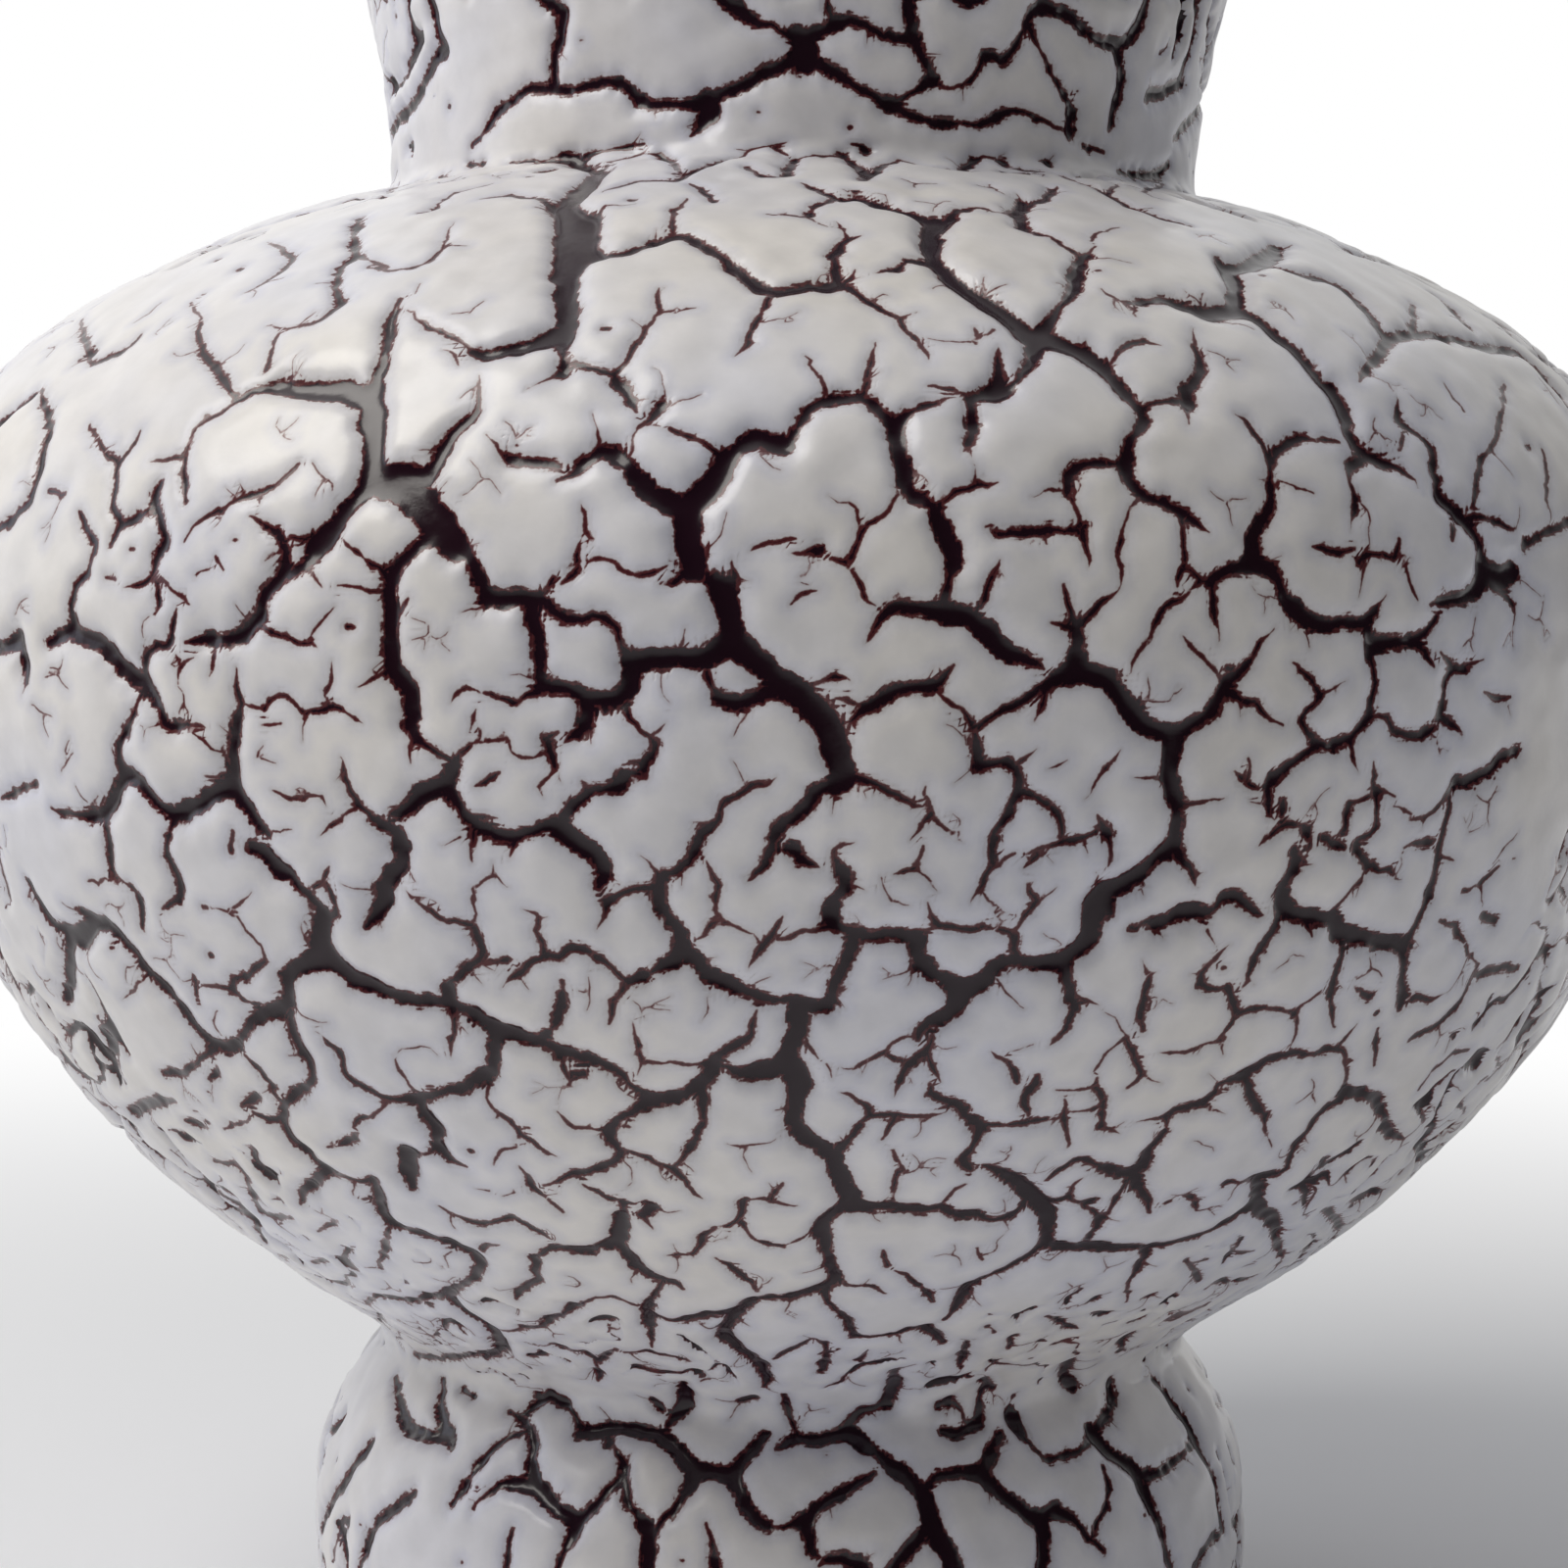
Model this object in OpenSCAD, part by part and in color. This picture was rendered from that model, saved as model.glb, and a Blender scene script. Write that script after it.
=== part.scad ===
// Footed vase with a full belly and a flaring neck, thrown as foot, belly and neck and joined with slip.
// A dark ground glaze covers the outside, and a thick white glaze has crawled on it into separate islands.
// The axis is Z, and the standing ring of the foot rests on Z = 0.

/* [Foot] */
// Height of the foot, from the table to the crease under the belly
foot_h = 21; // [16:0.5:28]
// Widest diameter of the foot, over the glaze
foot_d = 60; // [56:0.5:68]
// Height of the widest place of the foot
foot_widest_h = 9.5; // [8:0.5:12]
// Diameter at the crease between foot and belly, over the glaze
waist_d = 51.6; // [48:0.2:54]
// Outer diameter of the bare standing ring
stand_d = 54; // [50:0.5:56]
// Height of the bare band that is wiped clean above the table
wiped_h = 1.6; // [1:0.1:3]
// Width of the foot's wall at the table, from the hollow to the outside of the standing ring
ring_w = 6; // [5:0.5:8]
// Thickness of the foot's wall at its top, from the hollow to the crease
foot_wall = 5; // [4:0.1:6]

/* [Belly] */
// Widest diameter of the belly, over the glaze
belly_d = 110; // [96:1:124]
// Height of the belly, from the crease above the foot to the crease below the neck
belly_h = 72; // [64:1:82]
// Height of the widest place, above the foot's crease
belly_widest_h = 46.3; // [40:0.5:50]
// Angle at which the belly leaves the foot, from level
belly_lean = 49.6; // [40:0.2:60]
// Slope of the shoulder where it meets the neck, from level
shoulder_slope = 13.6; // [8:0.2:24]
// Wall thickness of the belly
wall = 5; // [4:0.1:6]
// Thickness of the belly's floor
floor_t = 8; // [6:0.5:10]

/* [Neck] */
// Diameter of the throat at the foot of the neck, over the glaze
throat_d = 50.8; // [46:0.2:56]
// Height of the neck's outside, from the crease to where the lip turns over
neck_rise = 37.5; // [30:0.5:46]
// Diameter of the neck where the lip turns over, over the glaze
rim_d = 76; // [68:1:84]
// How late the neck flares: 1 is a straight cone, and more stays narrow for longer
flare_power = 1.7; // [1.4:0.1:2.2]
// Thickness of the clay at the lip
lip_t = 3.2; // [2.4:0.1:4]

/* [Joints] */
// Thickness of the slip that joins the sections
slip_t = 0.4; // [0.3:0.05:0.6]
// Height of the tongue that seats one section in the next
tongue_h = 2.6; // [2:0.1:3.4]
// Radius of the fillet that is wiped into both creases, in the clay
crease_r = 2.4; // [2:0.1:3]

/* [Glaze] */
// Thickness of the dark ground glaze
ground_t = 0.4; // [0.3:0.05:0.5]
// Thickness of the white glaze at the middle of an island
crawl_t = 0.9; // [0.7:0.05:1.1]
// Thickness of the glaze that lines the inside
liner_t = 0.4; // [0.3:0.05:0.5]
// How far the ground glaze runs down inside the lip
lip_wrap = 14; // [10:0.5:18]
// Width of the open cracks between islands
crack_w = 0.9; // [0.7:0.05:1.4]
// Spacing of the islands on the belly
belly_cell = 12; // [11:0.25:14]
// Spacing of the islands on the neck
neck_cell = 11; // [10:0.25:13]
// Spacing of the islands on the foot
foot_cell = 8; // [7:0.25:10]
// Spacing of the islands inside the lip
lip_cell = 8.5; // [7:0.25:10]
// How far the islands run down inside the lip
lip_crawl = 10; // [8:0.5:12]

/* [Hidden] */

CLAY = "#b9a58c";
SLIP = "#a08c74";
DARK_GLAZE = "#1b1418";
WHITE_GLAZE = "#e6e3dd";

// Steps along each stretch of the outline
foot_steps = 8;
crease_steps = 6;
lower_steps = 26;
upper_steps = 18;
neck_steps = 16;
lip_steps = 10;
floor_steps = 6;
island_sides = 10;
foot_island_sides = 8;
round_fn = 128;

coat_t = ground_t + crawl_t;
waist_r = waist_d / 2 - coat_t;
throat_r = throat_d / 2 - coat_t;
belly_r = belly_d / 2 - coat_t;
foot_r = foot_d / 2 - coat_t;
stand_r = stand_d / 2;
rim_r = rim_d / 2 - coat_t;

waist_z = foot_h;
neck_z = foot_h + belly_h;
widest_z = foot_h + belly_widest_h;
lip_z = neck_z + neck_rise;

// Headings of the outline, in degrees from level, where it passes from one stretch to the next
foot_heading = 128;
stand_heading = 64;
shoulder_heading = 180 - shoulder_slope;

// Pulls of the curves, as shares of the height or width that each one spans
foot_pull_shares = [0.45, 0.5, 0.5, 0.35];
lower_pull_shares = [0.11, 0.66];
upper_pull_shares = [0.57, 0.26];

// A cubic from point p at heading a to point q at heading b, without its last point
function curve(p, a, pull_a, q, b, pull_b, steps) =
    let (p_ahead = p + pull_a * [cos(a), sin(a)], q_behind = q - pull_b * [cos(b), sin(b)])
    [for (i = [0 : steps - 1])
        let (t = i / steps, u = 1 - t)
        pow(u, 3) * p + 3 * u * u * t * p_ahead + 3 * u * t * t * q_behind + pow(t, 3) * q];

// An arc about centre c from angle a to angle b, without its last point
function arc(c, r, a, b, steps) =
    [for (i = [0 : steps - 1]) let (w = a + (b - a) * i / steps) c + r * [cos(w), sin(w)]];

function reversed(path) = [for (i = [len(path) - 1 : -1 : 0]) path[i]];

// The direction to the right of a path at point i, which is outwards where the path runs up the outside
function right_of(path, i) =
    let (t = path[min(i + 1, len(path) - 1)] - path[max(i - 1, 0)]) [t.y, -t.x] / norm(t);

function offset_path(path, t) = [for (i = [0 : len(path) - 1]) path[i] + t * right_of(path, i)];

// A closed skin of thickness t on the right of a path
function skin(path, t) = concat(path, reversed(offset_path(path, t)));

// The radius at height z on a path that climbs all the way, and the stretches of it below and above z
function r_on(path, z) = lookup(z, [for (p = path) [p.y, p.x]]);
function below(path, z) = concat([for (p = path) if (p.y < z) p], [[r_on(path, z), z]]);
function above(path, z) = concat([[r_on(path, z), z]], [for (p = path) if (p.y > z) p]);

// Running totals of a list, from zero
function totals(steps) =
    [for (i = 0, sum = 0; i <= len(steps); sum = sum + (i < len(steps) ? steps[i] : 0), i = i + 1) sum];

// Outside of the clay, from the wiped band up to where the lip turns over
foot_crease = [waist_r + crease_r, waist_z];
neck_crease = [throat_r + crease_r, neck_z];
foot_top = foot_crease + crease_r * [cos(foot_heading + 90), sin(foot_heading + 90)];
belly_start = foot_crease + crease_r * [cos(belly_lean + 90), sin(belly_lean + 90)];
belly_end = neck_crease + crease_r * [cos(shoulder_heading + 90), sin(shoulder_heading + 90)];
foot_side = [foot_r, foot_widest_h];
belly_side = [belly_r, widest_z];
flare = rim_r - throat_r;

function neck_at(share) = [throat_r + flare * pow(share, flare_power), neck_z + neck_rise * share];

outside = concat(
    curve([stand_r, wiped_h], stand_heading, foot_pull_shares[0] * (foot_widest_h - wiped_h),
        foot_side, 90, foot_pull_shares[1] * (foot_widest_h - wiped_h), foot_steps),
    curve(foot_side, 90, foot_pull_shares[2] * (foot_top.y - foot_widest_h),
        foot_top, foot_heading, foot_pull_shares[3] * (foot_top.y - foot_widest_h), foot_steps),
    arc(foot_crease, crease_r, foot_heading + 90, belly_lean + 90, crease_steps),
    curve(belly_start, belly_lean, lower_pull_shares[0] * belly_widest_h,
        belly_side, 90, lower_pull_shares[1] * belly_widest_h, lower_steps),
    curve(belly_side, 90, upper_pull_shares[0] * (belly_h - belly_widest_h),
        belly_end, shoulder_heading, upper_pull_shares[1] * (belly_r - throat_r), upper_steps),
    arc(neck_crease, crease_r, shoulder_heading + 90, 180, crease_steps),
    [for (i = [0 : neck_steps]) neck_at(i / neck_steps)]);

// The lip is a half round between the outside and the inside of the neck
last = len(outside) - 1;
lip_normal = right_of(outside, last);
lip_angle = atan2(lip_normal.y, lip_normal.x);
lip_centre = outside[last] - lip_t / 2 * lip_normal;
lip = arc(lip_centre, lip_t / 2, lip_angle, lip_angle + 180, lip_steps);

// Inside of the clay: the belly has an even wall, and the neck thins towards the lip
function wall_at(z) = z < neck_z ? wall : wall + (lip_t - wall) * (z - neck_z) / neck_rise;
bowl = [for (i = [0 : last]) if (outside[i].y > waist_z)
    outside[i] - wall_at(outside[i].y) * right_of(outside, i)];
boss_z = waist_z - tongue_h;
floor_z = boss_z + floor_t;
floor_round = wall;
bowl_start = [r_on(bowl, floor_z + floor_round), floor_z + floor_round];
floor_edge = [bowl_start.x - 2 * floor_round, floor_z];
inside = concat([[0, floor_z]],
    curve(floor_edge, 0, floor_round, bowl_start, belly_lean, floor_round, floor_steps),
    above(bowl, bowl_start.y));

// Where the ground glaze lies: up the outside, over the lip and down inside it
wrap_z = inside[len(inside) - 1].y - lip_wrap;
glazed = concat([for (i = [0 : last - 1]) outside[i]], lip, reversed(above(inside, wrap_z)));

// Joints: the boss under the belly seats in the foot, and the tongue on the belly seats in the neck
mouth_r = stand_r - ring_w;
seat_r = waist_r - foot_wall;
boss_r = seat_r - slip_t;
tongue_r = throat_r - (wall + slip_t) / 2;
waist_seat_z = waist_z - slip_t;
neck_seat_z = neck_z - slip_t;
tongue_z = neck_z + tongue_h;
hollow = [[mouth_r, wiped_h], [seat_r, boss_z]];

// The face that the islands lie on. Its runs are lengths along the outline. Its reaches are those lengths
// over the radius, in radians, so a plane of turns and reaches maps onto the face with no skew.
face = offset_path(glazed, ground_t);
face_steps = [for (i = [1 : len(face) - 1]) norm(face[i] - face[i - 1])];
face_runs = totals(face_steps);
face_reaches = totals([for (i = [1 : len(face) - 1]) 2 * face_steps[i - 1] / (face[i].x + face[i - 1].x)]);
points_of_face = [for (i = [0 : len(face) - 1]) i];
reach_at_run = [for (i = points_of_face) [face_runs[i], face_reaches[i]]];
r_at_reach = [for (i = points_of_face) [face_reaches[i], face[i].x]];
z_at_reach = [for (i = points_of_face) [face_reaches[i], face[i].y]];
out_at_reach = [for (i = points_of_face) [face_reaches[i], right_of(face, i).x]];
up_at_reach = [for (i = points_of_face) [face_reaches[i], right_of(face, i).y]];

// Where the islands of each zone begin and end: the creases part the zones, and the lip stays bare
waist_run = face_runs[2 * foot_steps + crease_steps / 2];
neck_run = face_runs[last - neck_steps];
lip_run = face_runs[last];
inner_run = face_runs[last + lip_steps];

// The rows of islands lie closer than the islands in a row, as in a honeycomb, and each is jogged a bit
row_share = 0.87;
jog_share = 0.3;
jogs_in_row = 100;
foot_seed = 17;
belly_seed = 194;
neck_seed = 71;
lip_seed = 91;
// How square the corners of an island are, and how far around it others bound it, in spacings
corner_power = 7;
look_share = 2.4;
// The rounded edge of an island, as shares of its thickness
edge_in_share = 0.9;
edge_up_share = 0.7;
// Flat facets on a round face need this much room under them, at the rim and in the middle of an island
rim_room = 0.25;
middle_room = 0.55;

// The middles of the islands of one zone, as [turn, reach] in radians, in rows jogged at random
function island_middles(from, to, cell, seed) =
    let (rows = max(1, round((to - from) / (cell * row_share))), rise = (to - from) / rows)
    [for (row = [0 : rows - 1])
        let (run = from + (row + 1 / 2) * rise,
            count = round(2 * PI * lookup(lookup(run, reach_at_run), r_at_reach) / cell),
            jogs = rands(-jog_share, jog_share, 2 * jogs_in_row, seed + row))
        for (i = [0 : count - 1])
            [2 * PI / count * (i + row / 2 + jogs[i]),
                lookup(run + rise * jogs[jogs_in_row + i], reach_at_run)]];

// What bounds an island: half the way to each neighbour and its bearing, and both ends of the zone
function bounds_of(middle, middles, from, to, cell) = concat(
    [[middle.y - lookup(from, reach_at_run), -90], [lookup(to, reach_at_run) - middle.y, 90]],
    [for (other = middles)
        let (turn = other.x - middle.x, across = turn - 2 * PI * round(turn / (2 * PI)),
            rise = other.y - middle.y, way = norm([across, rise]))
        if (way > 0 && way * lookup(middle.y, r_at_reach) < look_share * cell)
            [way / 2, atan2(rise, across)]]);

// How far an island goes on a bearing: the nearest bound counts most, which rounds the corners
function extent(bounds, bearing, gap) =
    let (pulls = [for (b = bounds) pow(max(0, cos(bearing - b[1])) / b[0], corner_power)])
    pow(pulls * [for (pull = pulls) 1], -1 / corner_power) - gap;

// A point that stands off the face by lift
function on_face(turn, reach, lift) =
    let (r = lookup(reach, r_at_reach) + lift * lookup(reach, out_at_reach), angle = turn * 180 / PI)
    [r * cos(angle), r * sin(angle), lookup(reach, z_at_reach) + lift * lookup(reach, up_at_reach)];

module turned(outline, finish) {
    color(finish) rotate_extrude($fn = round_fn) polygon(outline);
}

// The foot ring: bare clay where it stands, hollow beneath, with a seat for the belly's boss
module foot() {
    turned(concat(
        [[mouth_r + wiped_h, 0], [stand_r - wiped_h, 0]],
        below(outside, waist_seat_z),
        [[seat_r, waist_seat_z]],
        reversed(hollow)), CLAY);
}

// The belly: a bowl whose boss plugs the foot and whose tongue stands up inside the neck
module belly() {
    turned(concat(
        [[0, boss_z], [boss_r, boss_z], [boss_r, waist_z]],
        above(below(outside, neck_seat_z), waist_z),
        [[tongue_r, neck_seat_z], [tongue_r, tongue_z - slip_t]],
        reversed(below(inside, tongue_z - slip_t))), CLAY);
}

// The neck: rebated below to slip over the tongue, and rounded at the lip
module neck() {
    turned(concat(
        [for (p = above(outside, neck_z)) if (p.y < lip_z) p],
        lip,
        reversed(above(inside, tongue_z)),
        [[tongue_r + slip_t, tongue_z], [tongue_r + slip_t, neck_z]]), CLAY);
}

module foot_joint_slip() {
    turned(concat(
        [[boss_r, boss_z], [seat_r, boss_z], [seat_r, waist_seat_z]],
        above(below(outside, waist_z), waist_seat_z),
        [[boss_r, waist_z]]), SLIP);
}

module neck_joint_slip() {
    turned(concat(
        [[tongue_r, neck_seat_z]],
        above(below(outside, neck_z), neck_seat_z),
        [[tongue_r + slip_t, neck_z], [tongue_r + slip_t, tongue_z]],
        reversed(above(below(inside, tongue_z), tongue_z - slip_t)),
        [[tongue_r, tongue_z - slip_t]]), SLIP);
}

// The dark glaze in the hollow of the foot, wiped back from the standing ring
module recess_glaze() {
    lining = concat(above(hollow, 2 * wiped_h), [[0, boss_z]]);
    turned(concat(lining, [[0, boss_z - ground_t], [seat_r - ground_t, boss_z - ground_t],
        [lining[0].x - ground_t, lining[0].y]]), DARK_GLAZE);
}

// The dark ground under the white, from the wiped band up over the lip and down inside it
module ground_glaze() {
    turned(skin(glazed, ground_t), DARK_GLAZE);
}

// The dark glaze that lines the inside, up to where the ground glaze ends
module liner_glaze() {
    turned(skin(below(inside, wrap_z), -liner_t), DARK_GLAZE);
}

// One island of white glaze: a flat base, a rounded edge and a low crown
module island(middle, bounds, n) {
    scale_r = lookup(middle.y, r_at_reach);
    rim = [for (k = [0 : n - 1])
        extent(bounds, 360 * k / n, crack_w / 2 / scale_r) * [cos(360 * k / n), sin(360 * k / n)]];
    edge = [for (p = rim) p * (1 - edge_in_share * crawl_t / scale_r / norm(p))];
    points = concat(
        [on_face(middle.x, middle.y, middle_room)],
        [for (p = rim) on_face(middle.x + p.x, middle.y + p.y, rim_room)],
        [for (p = edge) on_face(middle.x + p.x, middle.y + p.y, edge_up_share * crawl_t)],
        [on_face(middle.x, middle.y, crawl_t)]);
    faces = [for (k = [1 : n])
        let (next = k % n + 1)
        each [[0, k, next], [k, k + n, next + n], [k, next + n, next], [2 * n + 1, next + n, k + n]]];
    polyhedron(points, faces);
}

// The islands of one zone of the face
module islands(from, to, cell, seed, sides) {
    middles = island_middles(from, to, cell, seed);
    for (middle = middles)
        color(WHITE_GLAZE) island(middle, bounds_of(middle, middles, from, to, cell), sides);
}

module foot_islands() {
    islands(crack_w, waist_run, foot_cell, foot_seed, foot_island_sides);
}

module belly_islands() {
    islands(waist_run, neck_run, belly_cell, belly_seed, island_sides);
}

module neck_islands() {
    islands(neck_run, lip_run, neck_cell, neck_seed, island_sides);
    islands(inner_run, inner_run + lip_crawl, lip_cell, lip_seed, island_sides);
}

foot();
belly();
neck();
foot_joint_slip();
neck_joint_slip();
recess_glaze();
ground_glaze();
liner_glaze();
foot_islands();
belly_islands();
neck_islands();
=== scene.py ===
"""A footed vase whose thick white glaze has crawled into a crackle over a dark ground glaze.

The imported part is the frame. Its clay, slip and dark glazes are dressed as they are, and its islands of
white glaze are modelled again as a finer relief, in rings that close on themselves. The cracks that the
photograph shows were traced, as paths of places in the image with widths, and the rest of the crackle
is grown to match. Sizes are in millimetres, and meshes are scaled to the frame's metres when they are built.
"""

import logging
import math
from collections.abc import Iterator
from dataclasses import dataclass

import bmesh
import bpy
import numpy as np
from mathutils import Matrix, Vector


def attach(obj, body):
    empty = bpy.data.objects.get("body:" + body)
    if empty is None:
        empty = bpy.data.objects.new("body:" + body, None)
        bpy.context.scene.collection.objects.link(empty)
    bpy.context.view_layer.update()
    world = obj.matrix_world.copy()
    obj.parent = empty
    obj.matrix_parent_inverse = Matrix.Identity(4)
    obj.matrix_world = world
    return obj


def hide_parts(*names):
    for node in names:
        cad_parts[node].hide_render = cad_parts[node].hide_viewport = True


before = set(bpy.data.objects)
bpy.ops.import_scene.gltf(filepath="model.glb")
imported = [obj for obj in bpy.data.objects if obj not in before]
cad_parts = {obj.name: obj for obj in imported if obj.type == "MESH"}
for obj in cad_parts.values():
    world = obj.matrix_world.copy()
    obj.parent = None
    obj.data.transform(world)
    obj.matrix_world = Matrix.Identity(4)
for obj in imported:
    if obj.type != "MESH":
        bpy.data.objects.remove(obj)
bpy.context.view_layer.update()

LOG = logging.getLogger("vase")
MM = 0.001
IMAGE_SIDE = 1600
EVERYWHERE = (slice(None), slice(None))

# A length too short to divide by, and one past every crack, in millimetres
SHORT = 0.001
FAR = 1000.0

# How a ripple's wavelengths spread about its size, and the height that its summed waves reach
WAVE_SPREAD = (0.7, 1.4)
WAVE_HEIGHT = 1.6

# Factors that turn a pair of islands' names into two draws that look random
PAIR_FACTORS = (12.9898, 78.233)
SECOND_DRAW = (1.7, 3.1)
DRAW_FACTORS = (43758.5453, 24634.6345)

# The lowest and highest of a size, and a place or a direction in space
Span = tuple[float, float]
Place = tuple[float, float, float]

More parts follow.
